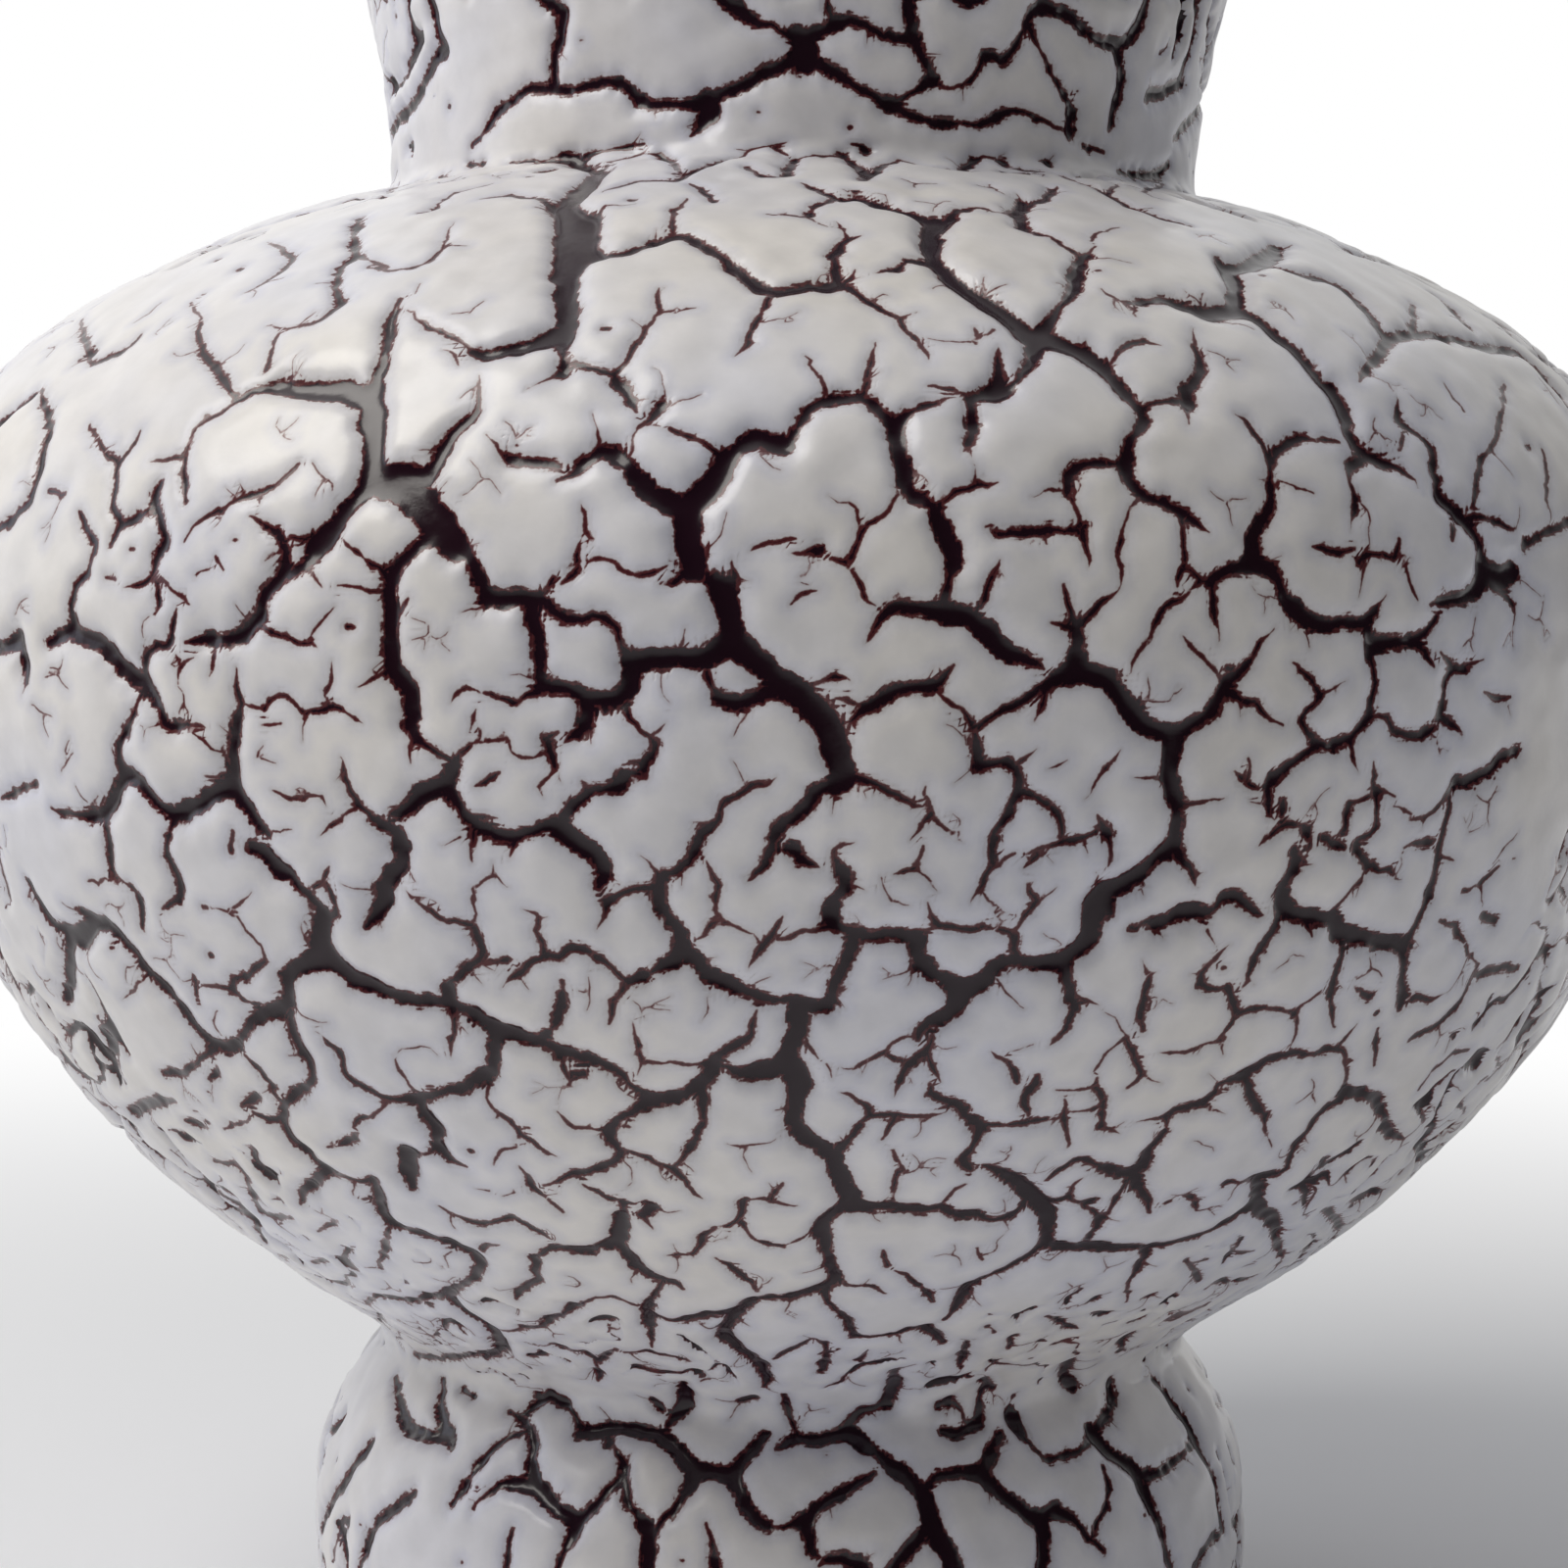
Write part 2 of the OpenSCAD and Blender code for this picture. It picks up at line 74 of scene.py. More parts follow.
# Cracks of the front, as paths of "x,y,width" in pixels of the photograph, with a semicolon between two
TRACED_CRACKS: dict[str, str] = {
    "upper left of the belly": """
    370,232,8 366,268,8 350,284,7 346,300,8 352,318,9 338,332,6 325,340,5 300,345,4 278,342,2; 366,268,5
    385,276,5 400,283,4; 290,348,4 283,365,6 277,385,7; 245,415,6 262,405,8 285,398,16 320,402,22 355,402,26
    380,408,30; 384,400,22 384,430,28 384,455,24 382,480,24 380,492,26; 380,492,20 366,512,16 352,525,14
    340,545,22 325,560,26; 200,318,3 212,335,4 208,350,6 212,365,7 228,385,8 238,400,8 245,415,7; 245,415,7
    232,427,6 215,435,5 205,445,5 200,460,5 197,472,6 185,472,6 160,476,2; 197,472,7 195,490,7 197,515,7;
    310,478,5 300,488,6 285,500,6 270,507,7 250,513,6 235,523,6 218,530,5 205,540,4 197,555,3; 270,503,4
    272,518,2; 255,505,3 252,497,1; 262,530,3 275,537,6 290,545,8 295,555,8 298,565,9; 300,550,5 320,548,6
    335,545,8; 0,440,12 20,425,14 40,410,12; 50,405,5 60,440,8 50,470,10 45,495,8 38,515,9 15,535,8 0,548,8;
    100,440,3 112,462,6 127,478,8 145,455,6 150,445,3; 127,478,7 125,500,8 122,520,8 130,538,8 122,558,6;
    130,538,8 150,528,7 165,518,7; 172,495,6 165,505,9 165,518,9 172,540,9 175,560,9; 90,525,3 98,545,7
    105,556,8; 60,505,6 75,508,6; 90,335,4 95,360,7 100,378,6 120,368,7 140,358,6 150,348,3; 255,310,2
    275,298,5 295,282,6 302,272,7 290,262,5 280,258,3""",
    "upper middle of the belly": """
    380,280,3 400,286,5 420,284,5 440,277,5 450,268,5 462,258,3; 455,262,4 460,248,3 467,238,1; 462,260,3
    480,260,1; 412,316,7 408,326,9 401,336,9 398,352,9 396,370,9 390,385,12 384,400,20; 420,328,2 433,338,4
    445,345,6 460,350,5 475,358,4 484,364,5; 433,300,2 428,312,2; 455,366,1 468,370,4 472,382,2; 484,366,8
    500,368,14 520,362,14 540,358,16 560,350,22 575,342,24; 590,230,46 590,255,44 580,280,34 578,300,22
    581,320,22 578,340,22 576,355,16 577,372,6 577,386,14 565,393,4 540,408,1; 600,262,30 612,268,16
    630,268,9 650,262,9 670,253,10 690,248,12 708,252,12 725,262,12 745,277,12 765,292,13 780,302,13;
    583,378,4 595,380,8 612,384,7 628,388,7 645,370,6 660,345,5 675,328,4 673,318,5 674,305,2; 675,328,4
    690,329,4 712,325,2; 628,388,6 638,400,14 645,413,12 651,427,3; 677,417,10 668,430,9 655,440,5 647,452,3
    643,468,4 641,478,8; 665,438,4 676,441,2; 500,450,2 512,464,4 520,472,8 535,475,10 555,476,10 573,480,7;
    572,495,5 590,485,10 605,472,10 615,463,13 628,465,17 640,475,13 650,490,17 660,500,20 680,512,24
    700,520,28; 612,460,5 612,448,4 607,428,2; 700,520,30 705,540,26 703,560,24; 700,520,28 720,503,30
    735,485,26 742,468,18 760,458,15 780,450,16; 685,443,5 700,450,6 720,457,6 735,466,8 742,470,12;
    493,392,2 492,410,6 490,425,9 485,433,9 472,440,12 462,450,13 455,463,14 447,477,15 437,490,20; 388,478,8
    410,482,16 425,485,18 437,490,20; 380,490,26 410,498,28 435,515,34 452,540,34 470,562,24; 596,518,1
    598,525,4 600,545,5 606,556,3""",
    "upper right of the middle": """
    760,290,12 775,302,13 800,303,14 825,298,13 850,298,14 865,300,10 880,312,8 900,325,7 917,334,6 922,345,5
    935,355,5 943,367,5 946,377,1; 917,333,4 935,329,1; 787,308,7 778,325,6 768,345,6 762,362,6 750,373,1;
    853,298,9 853,280,9 850,267,9 858,258,8 866,254,7 878,252,2; 864,252,5 858,243,4 853,238,1; 860,297,8
    868,292,6 872,284,2; 953,230,22 950,250,19 951,268,15 960,280,17 975,295,19 992,307,20 1010,318,20
    1028,330,21 1045,345,26 1062,350,28 1085,357,22 1105,365,22 1125,380,18 1138,395,14 1150,410,12
    1162,425,11 1165,432,10; 945,274,10 925,275,9 910,284,8 893,289,2; 1062,345,20 1075,328,9 1088,312,11
    1095,300,15 1098,285,15 1101,272,10 1115,262,3; 1098,268,5 1085,262,5 1072,254,5 1055,246,6 1045,240,8
    1040,228,10; 1110,257,3 1115,249,4 1140,243,2; 1055,358,18 1053,372,11 1045,385,9 1037,394,7 1025,402,16
    1012,405,24 1000,408,14 990,412,11 990,430,10 992,445,8 985,458,9 980,468,2; 1018,398,16 1017,380,10
    1016,363,1; 990,410,5 975,408,5 960,404,6 945,403,3; 760,455,18 775,450,15 800,458,20 810,445,11
    822,428,11 835,417,10 855,411,11 875,411,11 890,416,10 900,428,11 912,440,15 915,455,13 920,475,17
    923,495,17 928,505,13 940,512,12 953,522,13 960,540,17 970,560,20 973,575,18 968,585,10 965,600,9
    964,615,11; 881,408,7 885,385,6 893,358,2; 843,408,5 835,392,4 821,373,2; 912,438,13 925,427,9 940,423,8
    955,419,6 975,413,1; 953,520,6 965,513,5 975,505,7 992,500,7 1015,498,2; 992,498,3 992,483,1; 925,506,5
    910,515,4 900,530,5 885,537,5 878,545,7 872,560,7 868,572,7 860,575,7 848,571,5; 878,540,4 873,522,4
    865,516,3 855,517,2 845,510,1; 1086,507,9 1087,490,11 1095,480,10 1110,477,9 1130,477,8 1145,478,9;
    1083,503,4 1070,504,5 1048,512,1; 1087,505,6 1093,520,5 1098,530,5 1100,540,7; 1003,541,3 1015,547,9
    1030,545,9 1060,545,10 1090,543,9 1103,540,9; 1063,548,5 1064,557,3; 1103,540,7 1104,560,6 1107,572,5
    1106,581,1; 1158,512,4 1145,532,4 1140,550,5 1137,575,5 1138,600,2; 1120,305,2 1130,312,4 1145,320,5
    1155,325,5 1155,333,2; 1130,377,4 1140,364,6 1150,358,8 1165,356,7 1180,362,2; 992,345,4 993,360,4;
    1003,352,4 1012,346,4; 765,565,1 770,561,4 790,556,5 812,552,3""",
    "upper right of the belly": """
    1140,317,4 1155,318,7 1170,315,9 1190,312,13 1205,318,15 1228,325,22 1250,322,24 1265,322,16 1285,335,13
    1300,348,13 1318,362,13 1333,382,13 1345,397,10 1355,400,17 1362,412,18 1370,430,17 1372,447,13
    1380,460,12 1392,470,12 1410,476,11 1422,482,8 1437,495,3; 1258,318,20 1258,295,17 1250,280,20
    1270,278,18 1290,268,24 1300,258,14; 1240,272,8 1250,280,16; 1295,278,14 1320,288,9 1350,296,9 1370,305,9
    1388,320,10 1400,338,10 1410,348,12; 1380,398,3 1390,383,9 1405,368,10 1412,352,12 1430,348,10
    1455,348,10 1480,352,10 1505,360,12 1540,365,8 1565,385,8 1585,408,10 1595,425,8; 1437,345,7 1437,320,6;
    1465,400,2 1475,415,4 1485,428,4; 1565,465,4 1570,490,5 1568,515,4; 1213,345,2 1216,360,4 1220,372,8
    1222,385,11 1215,397,13 1205,402,11 1212,412,11 1207,425,6 1208,440,2; 1205,412,7 1190,415,7 1170,418,7
    1160,423,8; 1165,432,9 1157,445,10 1148,460,11 1145,478,13 1150,495,12 1165,510,11 1185,515,11
    1202,525,11 1220,540,7 1228,546,2; 1253,430,2 1265,436,6 1275,450,7 1285,465,7 1293,475,9 1292,500,11
    1292,520,12 1283,535,14 1275,550,17 1277,562,19; 1293,475,6 1297,465,10 1310,456,10 1325,451,9 1345,454,7
    1360,457,4; 1370,490,6 1372,480,10 1385,472,11; 1370,492,4 1374,505,6 1378,512,9 1376,525,9 1370,545,1;
    1418,415,2 1420,435,8 1435,445,7 1448,455,8 1455,463,9 1457,485,10 1463,505,12 1475,520,13 1490,533,13
    1500,550,10 1505,565,10; 1475,540,8 1473,552,6; 1490,530,6 1515,533,7 1535,543,4; 1425,450,5 1420,465,4;
    1455,308,6 1478,325,8 1495,345,8; 1522,338,6 1540,355,8; 1300,495,3 1315,503,4 1332,508,3; 1528,400,4
    1523,430,6 1520,450,6 1505,472,7 1500,490,7 1495,520,5; 1548,560,8 1570,545,8 1600,533,7""",
    "left of the belly": """
    0,662,10 15,658,14 25,650,16 28,660,12 33,685,12 35,695,8; 57,655,9 65,650,14 78,645,15 80,630,12
    80,615,8 85,600,7 98,585,7 105,565,8 105,555,8; 78,645,14 90,650,16 105,655,17 118,665,17 130,682,17
    145,693,16 155,700,16 165,710,11 172,722,8 174,738,7 180,740,9 200,737,7 218,740,3; 155,700,12 153,685,9
    158,665,9 168,657,9 180,657,9 183,645,7 187,630,7 190,620,2; 150,705,8 145,725,9 138,740,9 128,760,10
    128,775,10 130,790,14 122,810,13 112,828,14 95,830,10 75,827,8 62,822,4; 130,788,12 145,795,13 158,808,12
    172,822,12 185,828,13 205,822,15 225,808,17 240,800,22; 112,828,8 117,850,9 120,870,9 122,885,8
    128,893,5; 185,828,9 180,850,9 178,870,9 185,885,9 190,900,10 190,915,9 175,923,4; 240,800,20 243,785,15
    242,765,13 245,745,12 248,730,11 252,715,9 248,700,7 249,680,3; 252,717,4 262,720,4 275,722,4 282,712,6
    292,708,6 300,709,5 308,717,5 318,727,7 330,724,7 342,720,8 355,722,6 370,732,5 377,736,1; 342,718,5
    338,705,6 345,690,5 347,672,1; 318,728,3 316,755,1; 275,738,3 295,736,3; 240,800,20 250,815,15 262,832,13
    275,845,11 280,850,8; 198,655,4 212,652,9 230,652,10 245,650,15 258,640,17 270,625,14 275,605,14
    290,590,14 297,575,12 295,560,11 290,548,10 278,540,8; 245,652,6 240,665,2; 297,588,11 315,578,11
    325,565,9 330,553,15 338,545,24; 270,638,8 285,645,7 300,647,6 312,656,6 325,655,5 332,660,2; 325,648,3
    335,635,4 350,618,2; 320,585,4 332,595,4 337,600,2; 175,550,9 170,565,9 165,580,8 160,592,7 150,598,6
    138,600,2; 165,590,5 170,600,6 171,615,8 168,628,2; 170,588,4 185,603,4 195,608,6 203,617,2; 118,590,4
    128,592,4; 228,570,4 237,583,3; 208,588,4 222,582,3; 188,668,3 195,678,6 207,670,2; 193,678,5 191,692,2;
    225,666,6 222,690,2; 355,552,2 370,565,6 385,578,8 397,588,9; 352,598,3 375,600,4 395,604,5; 372,700,2
    385,692,5 398,684,6; 355,770,2 357,785,7 363,805,7 372,820,8 385,832,9 400,840,10; 368,822,5 355,832,5
    342,840,5 333,850,1; 285,803,2 300,812,5 320,809,5 335,810,4 340,820,1; 12,812,4 25,805,7 45,798,8;
    200,745,3 215,752,4 232,765,3; 218,790,4 240,790,6; 285,845,3 305,843,2; 245,845,5 243,865,7""",
    "middle of the belly, on the left": """
    452,545,24 440,550,16 425,563,13 410,575,13 403,590,15 400,610,15 401,640,17 402,665,18 403,682,17
    412,697,15 422,705,17 424,722,16 420,737,13 430,752,10 445,762,7 460,772,7 467,778,8; 405,627,4 415,620,6
    421,612,5; 425,752,5 426,777,2; 465,550,16 478,562,12 487,580,13 495,597,12 500,610,19 515,613,18
    530,608,15 548,612,17 555,612,12; 545,615,14 545,632,15 552,650,13 553,670,14 553,690,13 556,700,13;
    492,622,3 475,625,1; 552,610,8 562,600,7 569,590,6; 575,597,3 585,590,7 592,583,9 591,570,7 594,557,4;
    555,613,10 568,625,11 582,632,11 595,632,9 607,627,8 620,630,9 632,642,8 637,655,6 643,668,11 645,675,20;
    645,675,22 665,670,20 690,670,18 710,672,22 730,665,24 745,655,30 748,640,22 743,620,24 735,600,26
    730,590,14; 701,640,2 698,655,4 692,665,6; 703,560,26 707,565,27 710,582,23; 715,588,12 702,588,10
    688,596,8 675,597,2; 748,572,1 750,590,9 745,602,18; 750,660,26 765,668,26 780,677,24; 722,685,8
    728,702,6 735,712,15 748,716,18 765,713,16 780,707,16; 645,675,20 645,690,19 640,705,20 630,713,18
    620,713,17 600,712,17 590,705,15 575,700,13 557,700,11 540,708,6 527,716,8 512,711,6 498,706,4; 490,703,3
    480,700,6 470,706,5 465,716,1; 600,715,16 600,730,15 595,742,11 585,750,8 578,757,2; 602,735,6 606,757,2;
    618,715,14 619,725,8; 638,718,8 645,733,6 655,743,5 665,750,6 670,758,10 665,770,12 658,782,11 660,790,7;
    645,775,4 655,775,6; 668,748,3 675,743,4 682,735,1; 660,787,6 645,787,8 637,790,15 635,798,15 620,803,9
    608,803,10 598,812,11 585,820,13 577,832,13 572,845,18; 597,795,4 605,802,6; 490,722,2 487,732,6
    484,744,2; 467,777,9 475,765,7 485,757,6 500,754,5 515,753,5 523,752,3; 494,743,4 494,752,4; 518,746,3
    523,755,4 526,765,3 535,771,4 548,771,4 560,767,3; 573,745,3 560,752,10 563,760,9 566,770,9 570,783,6
    576,795,1; 567,785,3 558,795,5 553,800,4 558,810,1; 405,828,9 420,822,15 432,808,21 447,803,19 458,798,19
    465,785,15 468,776,11; 455,803,17 468,815,13 480,832,13 492,842,14 508,850,13 527,853,13 540,847,12
    555,842,13 567,840,18 575,845,22 590,858,20 600,865,20 612,875,17 618,890,16 613,900,10; 486,845,6
    487,875,3; 475,850,3 455,858,1; 528,855,9 525,870,3; 485,830,6 500,831,6 511,832,2; 487,800,2 497,797,7
    507,790,8 515,785,3; 392,838,10 402,845,11 410,850,15 413,880,16 402,893,18 393,902,16 393,918,18
    387,932,14 378,942,6; 780,795,5 768,798,7 755,808,8 740,815,8 735,825,6 735,832,7 722,845,11 713,855,11
    705,875,9 695,885,9 680,888,9 675,895,12 672,910,14 677,925,14 685,938,14 695,950,16 697,965,20
    690,978,18 675,983,12 660,992,10 645,997,9 637,1005,7 627,1015,7 627,1030,6 624,1038,3; 603,575,3
    615,571,5 630,575,5 635,582,5 645,586,5 658,588,7 670,585,6 685,577,1""",
    "middle of the belly, on the right": """
    808,566,3 820,567,5 835,563,13; 862,577,4 872,588,5 878,598,6 880,608,6 893,618,2; 807,617,3 815,608,5
    825,604,5 835,603,1; 883,655,3 892,640,7 900,628,10 910,620,12 922,618,12 940,621,13 955,625,16
    970,627,18 985,628,20 1000,640,22 1010,650,22 1022,662,20 1040,670,14 1055,676,10 1063,682,3; 915,605,2
    918,614,4; 1017,573,2 1012,585,5 1006,597,7 1003,610,8 998,620,6; 1138,600,1 1130,608,4 1120,613,7
    1108,627,7 1100,637,8; 1081,598,4 1085,615,6 1091,630,8 1096,642,12 1098,655,12 1096,668,18 1097,682,30;
    1068,635,3 1080,637,6 1093,642,8; 1097,682,28 1085,688,20 1073,695,14 1062,702,10 1045,712,10 1035,718,9
    1022,722,9 1010,730,7 998,738,6; 1065,700,6 1060,720,8 1052,733,4; 1097,682,28 1115,688,22 1130,692,20
    1138,705,18 1148,720,20 1160,735,20 1175,743,17 1190,746,16 1197,750,22; 870,733,7 880,722,12 893,718,12
    903,710,16 915,702,14 930,700,12 945,700,14 955,698,12 962,688,8 972,677,3; 955,703,4 970,718,6 985,730,7
    992,742,9 994,755,10 996,772,12 998,780,14 1010,778,10 1025,775,11 1035,783,9 1038,795,9 1036,808,10
    1030,820,9 1022,835,9 1012,850,9 1010,865,9 1010,880,8 1003,890,7 998,903,6 988,917,1; 1035,778,6
    1045,770,5 1055,761,1; 990,783,3 970,797,1; 1040,808,6 1055,811,7 1068,818,7 1077,828,8 1080,845,7
    1082,855,5; 1045,868,4 1058,862,6 1075,858,6 1090,855,9 1105,850,6 1115,845,6; 1115,828,3 1122,843,10
    1128,855,6 1129,870,6 1125,881,2; 760,658,20 775,680,20 790,690,20 805,697,22 815,705,26 828,720,30
    842,735,30 850,750,28 855,770,26 860,785,26 860,797,22; 780,706,15 800,707,17 815,710,20; 862,792,14
    875,792,9 890,796,8 905,805,8 918,812,7 930,819,6 940,820,3; 858,797,20 840,802,12 830,810,13 818,825,15
    808,833,13 795,842,14 790,852,12 787,865,11 783,878,9 770,890,6 763,896,2; 943,797,2 940,808,4 946,820,5
    949,828,7 938,840,6 927,853,2; 949,830,5 960,840,4 970,848,4 980,855,1; 828,697,3 845,691,6 867,694,2;
    852,712,3 862,712,6 872,718,6; 868,733,6 872,742,3; 1102,812,1 1112,797,4 1122,783,6 1132,772,4
    1138,762,1; 1065,782,1 1075,779,4 1085,773,1; 760,805,6 772,798,6 785,797,4 793,790,1; 850,865,5
    858,857,5 872,855,1; 805,862,11 815,872,10 830,879,7 836,881,2""",
    "right of the belly": """
    1277,562,20 1275,575,20 1262,580,14 1248,583,11 1238,588,12 1230,595,12; 1278,575,20 1292,580,16
    1300,590,12 1305,605,12 1315,618,18 1325,628,18 1340,636,16 1355,637,13 1372,636,11 1385,636,12
    1392,632,14 1398,620,6 1407,607,2; 1392,640,10 1392,650,12 1400,657,18 1415,655,13 1440,654,13 1448,665,9
    1455,679,4; 1442,650,10 1450,643,9 1460,628,7; 1392,658,12 1393,672,9 1395,690,7 1393,710,8 1392,728,10
    1382,740,10 1372,752,10 1355,760,10 1340,758,10 1325,768,9 1308,782,8 1295,795,10 1290,800,10 1292,812,8
    1290,828,7; 1372,757,6 1373,770,6 1378,785,1; 1395,730,6 1408,730,7 1415,745,8 1430,749,9 1450,747,8
    1458,740,6; 1305,815,7 1303,830,7; 1393,775,3 1396,790,7 1398,805,10 1398,820,7 1398,840,8 1390,850,8
    1378,855,8 1382,868,9 1392,882,9 1400,885,6 1412,883,7 1418,894,3; 1398,808,6 1385,812,6 1370,817,7
    1367,832,8 1365,845,8 1358,850,4; 1400,803,6 1415,810,3; 1232,597,9 1233,615,9 1235,635,6 1236,656,2;
    1230,594,8 1218,593,6 1210,583,6 1200,582,7 1196,592,7 1195,601,2; 1200,530,5 1202,560,6 1204,575,6;
    1210,605,2 1200,612,6 1185,617,7 1178,627,8 1172,638,7 1168,650,5 1158,662,5 1150,675,4 1149,686,1;
    1200,648,2 1210,660,5 1220,668,5 1230,680,4 1240,690,4 1245,697,8; 1296,640,2 1285,650,4 1278,660,7
    1270,675,9 1258,688,11 1247,697,12 1242,710,12 1235,725,14 1222,733,14 1208,742,16 1197,750,22;
    1247,702,10 1260,712,8 1278,717,7 1285,728,7 1302,738,3; 1197,750,22 1193,770,22 1190,790,18 1195,805,16
    1200,820,16 1198,840,16 1195,860,18 1185,868,16 1172,877,14 1160,888,16 1150,897,20 1140,903,20
    1125,908,26 1115,920,26 1112,940,20 1110,955,22 1100,965,18 1088,973,18 1075,980,18 1055,980,14
    1038,977,12 1025,980,14 1012,985,16 1000,1000,22 985,1006,24; 1180,793,5 1165,791,4 1150,790,1;
    1205,820,5 1220,816,5 1245,811,1; 1198,865,14 1205,878,9 1213,890,7 1217,901,2; 1312,675,2 1320,683,6
    1332,692,8 1342,708,8 1335,718,6 1325,725,6 1322,733,9 1328,745,8 1338,757,9; 1342,708,4 1355,700,4
    1366,693,1; 1328,645,3 1330,661,2; 1332,560,3 1345,562,8 1360,566,9 1375,562,5; 1380,575,8 1388,567,9
    1400,568,6 1415,572,7 1420,562,7 1420,553,5; 1388,575,4 1382,590,3 1378,610,1; 1425,575,4 1430,595,4
    1438,612,3; 1505,565,12 1510,582,24 1525,588,24 1540,585,20; 1508,595,20 1490,610,14 1475,612,12
    1462,614,10 1452,617,5; 1520,600,10 1537,618,8; 1462,665,3 1472,675,8 1478,682,10 1488,682,8 1505,672,2;
    1475,685,8 1467,695,8 1465,715,8 1462,730,10 1475,738,9 1483,748,5; 1455,748,3 1460,766,3; 1505,705,3
    1520,712,7 1532,710,3; 1540,765,12 1525,770,11 1515,785,12 1498,793,13 1480,797,12 1472,805,8 1465,815,6
    1455,825,5 1445,833,6 1430,833,4; 1472,808,7 1470,830,7 1465,850,7 1462,865,9 1460,880,9 1458,895,9
    1452,915,9 1443,932,9 1435,950,9 1430,965,11; 1413,820,2 1425,824,5 1432,828,3; 1425,862,3 1440,858,8
    1455,857,8; 1253,785,2 1262,792,8 1272,800,7 1280,803,4; 1268,772,4 1270,785,5 1268,793,6; 1278,860,2
    1290,852,5 1300,842,7 1310,838,8 1325,840,8 1330,850,9 1330,862,7; 1345,852,10 1352,858,8 1365,862,7""",
    "lower left of the belly": """
    262,862,14 275,870,18 285,882,20 298,890,16 308,900,10 320,908,10 327,920,12 333,932,18 330,950,22
    328,965,26 335,975,30; 325,902,6 335,898,6 340,885,6 343,879,2; 340,900,6 345,915,8 347,928,10
    338,935,12; 335,975,28 320,980,18 305,985,16 295,993,15 298,1005,14 298,1020,16 285,1027,16 272,1030,14
    260,1038,9 255,1050,8 247,1062,12 235,1067,14 222,1062,12 210,1050,11 200,1038,11 190,1022,11 178,1007,12
    165,995,12 155,985,12 145,968,11 130,952,11 115,942,14 100,938,20 90,928,12; 335,975,30 350,985,20
    365,998,20 385,1003,17 395,1008,15 412,1015,14 430,1018,12 450,1019,9 463,1020,16 480,1028,14 495,1038,14
    508,1048,18 530,1052,17 550,1058,14 570,1067,12 590,1073,12 610,1078,12 625,1085,11 638,1093,10
    645,1103,7 655,1110,6 665,1117,14; 100,940,18 85,955,28 73,950,22 75,975,16 75,1000,16 73,1015,10;
    72,950,14 55,935,10 45,915,10 35,895,7; 300,1030,10 303,1050,11 310,1065,11 320,1080,11 325,1095,9
    318,1105,8 303,1112,10 295,1122,10 292,1138,11 300,1152,10 310,1165,9 325,1178,9 337,1190,14 327,1200,11
    317,1207,10 312,1220,4; 337,1190,12 355,1192,6 372,1198,7 384,1198,10; 278,975,6 268,983,8 260,992,7
    245,993,8 243,1006,9 255,1015,7 265,1020,9; 243,1005,6 230,1000,5 213,1000,3; 205,990,5 208,1010,6;
    225,922,2 240,925,4 250,930,4 258,945,4 270,957,4 277,973,5; 245,922,4 255,915,4 265,905,1; 100,895,3
    115,893,4 128,890,4 145,905,6 152,925,8 155,945,4; 155,993,4 145,1005,4 135,1013,1; 330,1045,2 340,1058,7
    352,1068,9 355,1080,7 358,1090,7 370,1100,8 385,1108,8 395,1113,7 412,1117,8 430,1118,14; 400,1118,4
    385,1132,5 370,1135,6 366,1143,3; 340,1162,3 355,1160,8 368,1155,8 372,1147,3; 255,1072,5 270,1085,7
    283,1100,7 290,1115,6; 220,1095,4 226,1090,10 228,1082,4; 254,1122,5 262,1117,10 267,1110,7; 265,1128,5
    278,1135,6 290,1136,8; 175,1090,8 195,1090,8 210,1075,7 225,1066,8; 140,1130,12 165,1120,12 185,1117,6;
    195,1138,5 207,1142,11 216,1145,5; 235,1145,4 250,1140,5 262,1132,4; 225,1178,5 245,1180,6 258,1195,7
    263,1215,8 270,1230,7 288,1236,9 303,1234,6; 205,1215,7 215,1222,5; 330,1248,3 342,1242,7 350,1236,3;
    290,1272,5 300,1275,5; 325,1280,5 338,1278,7""",
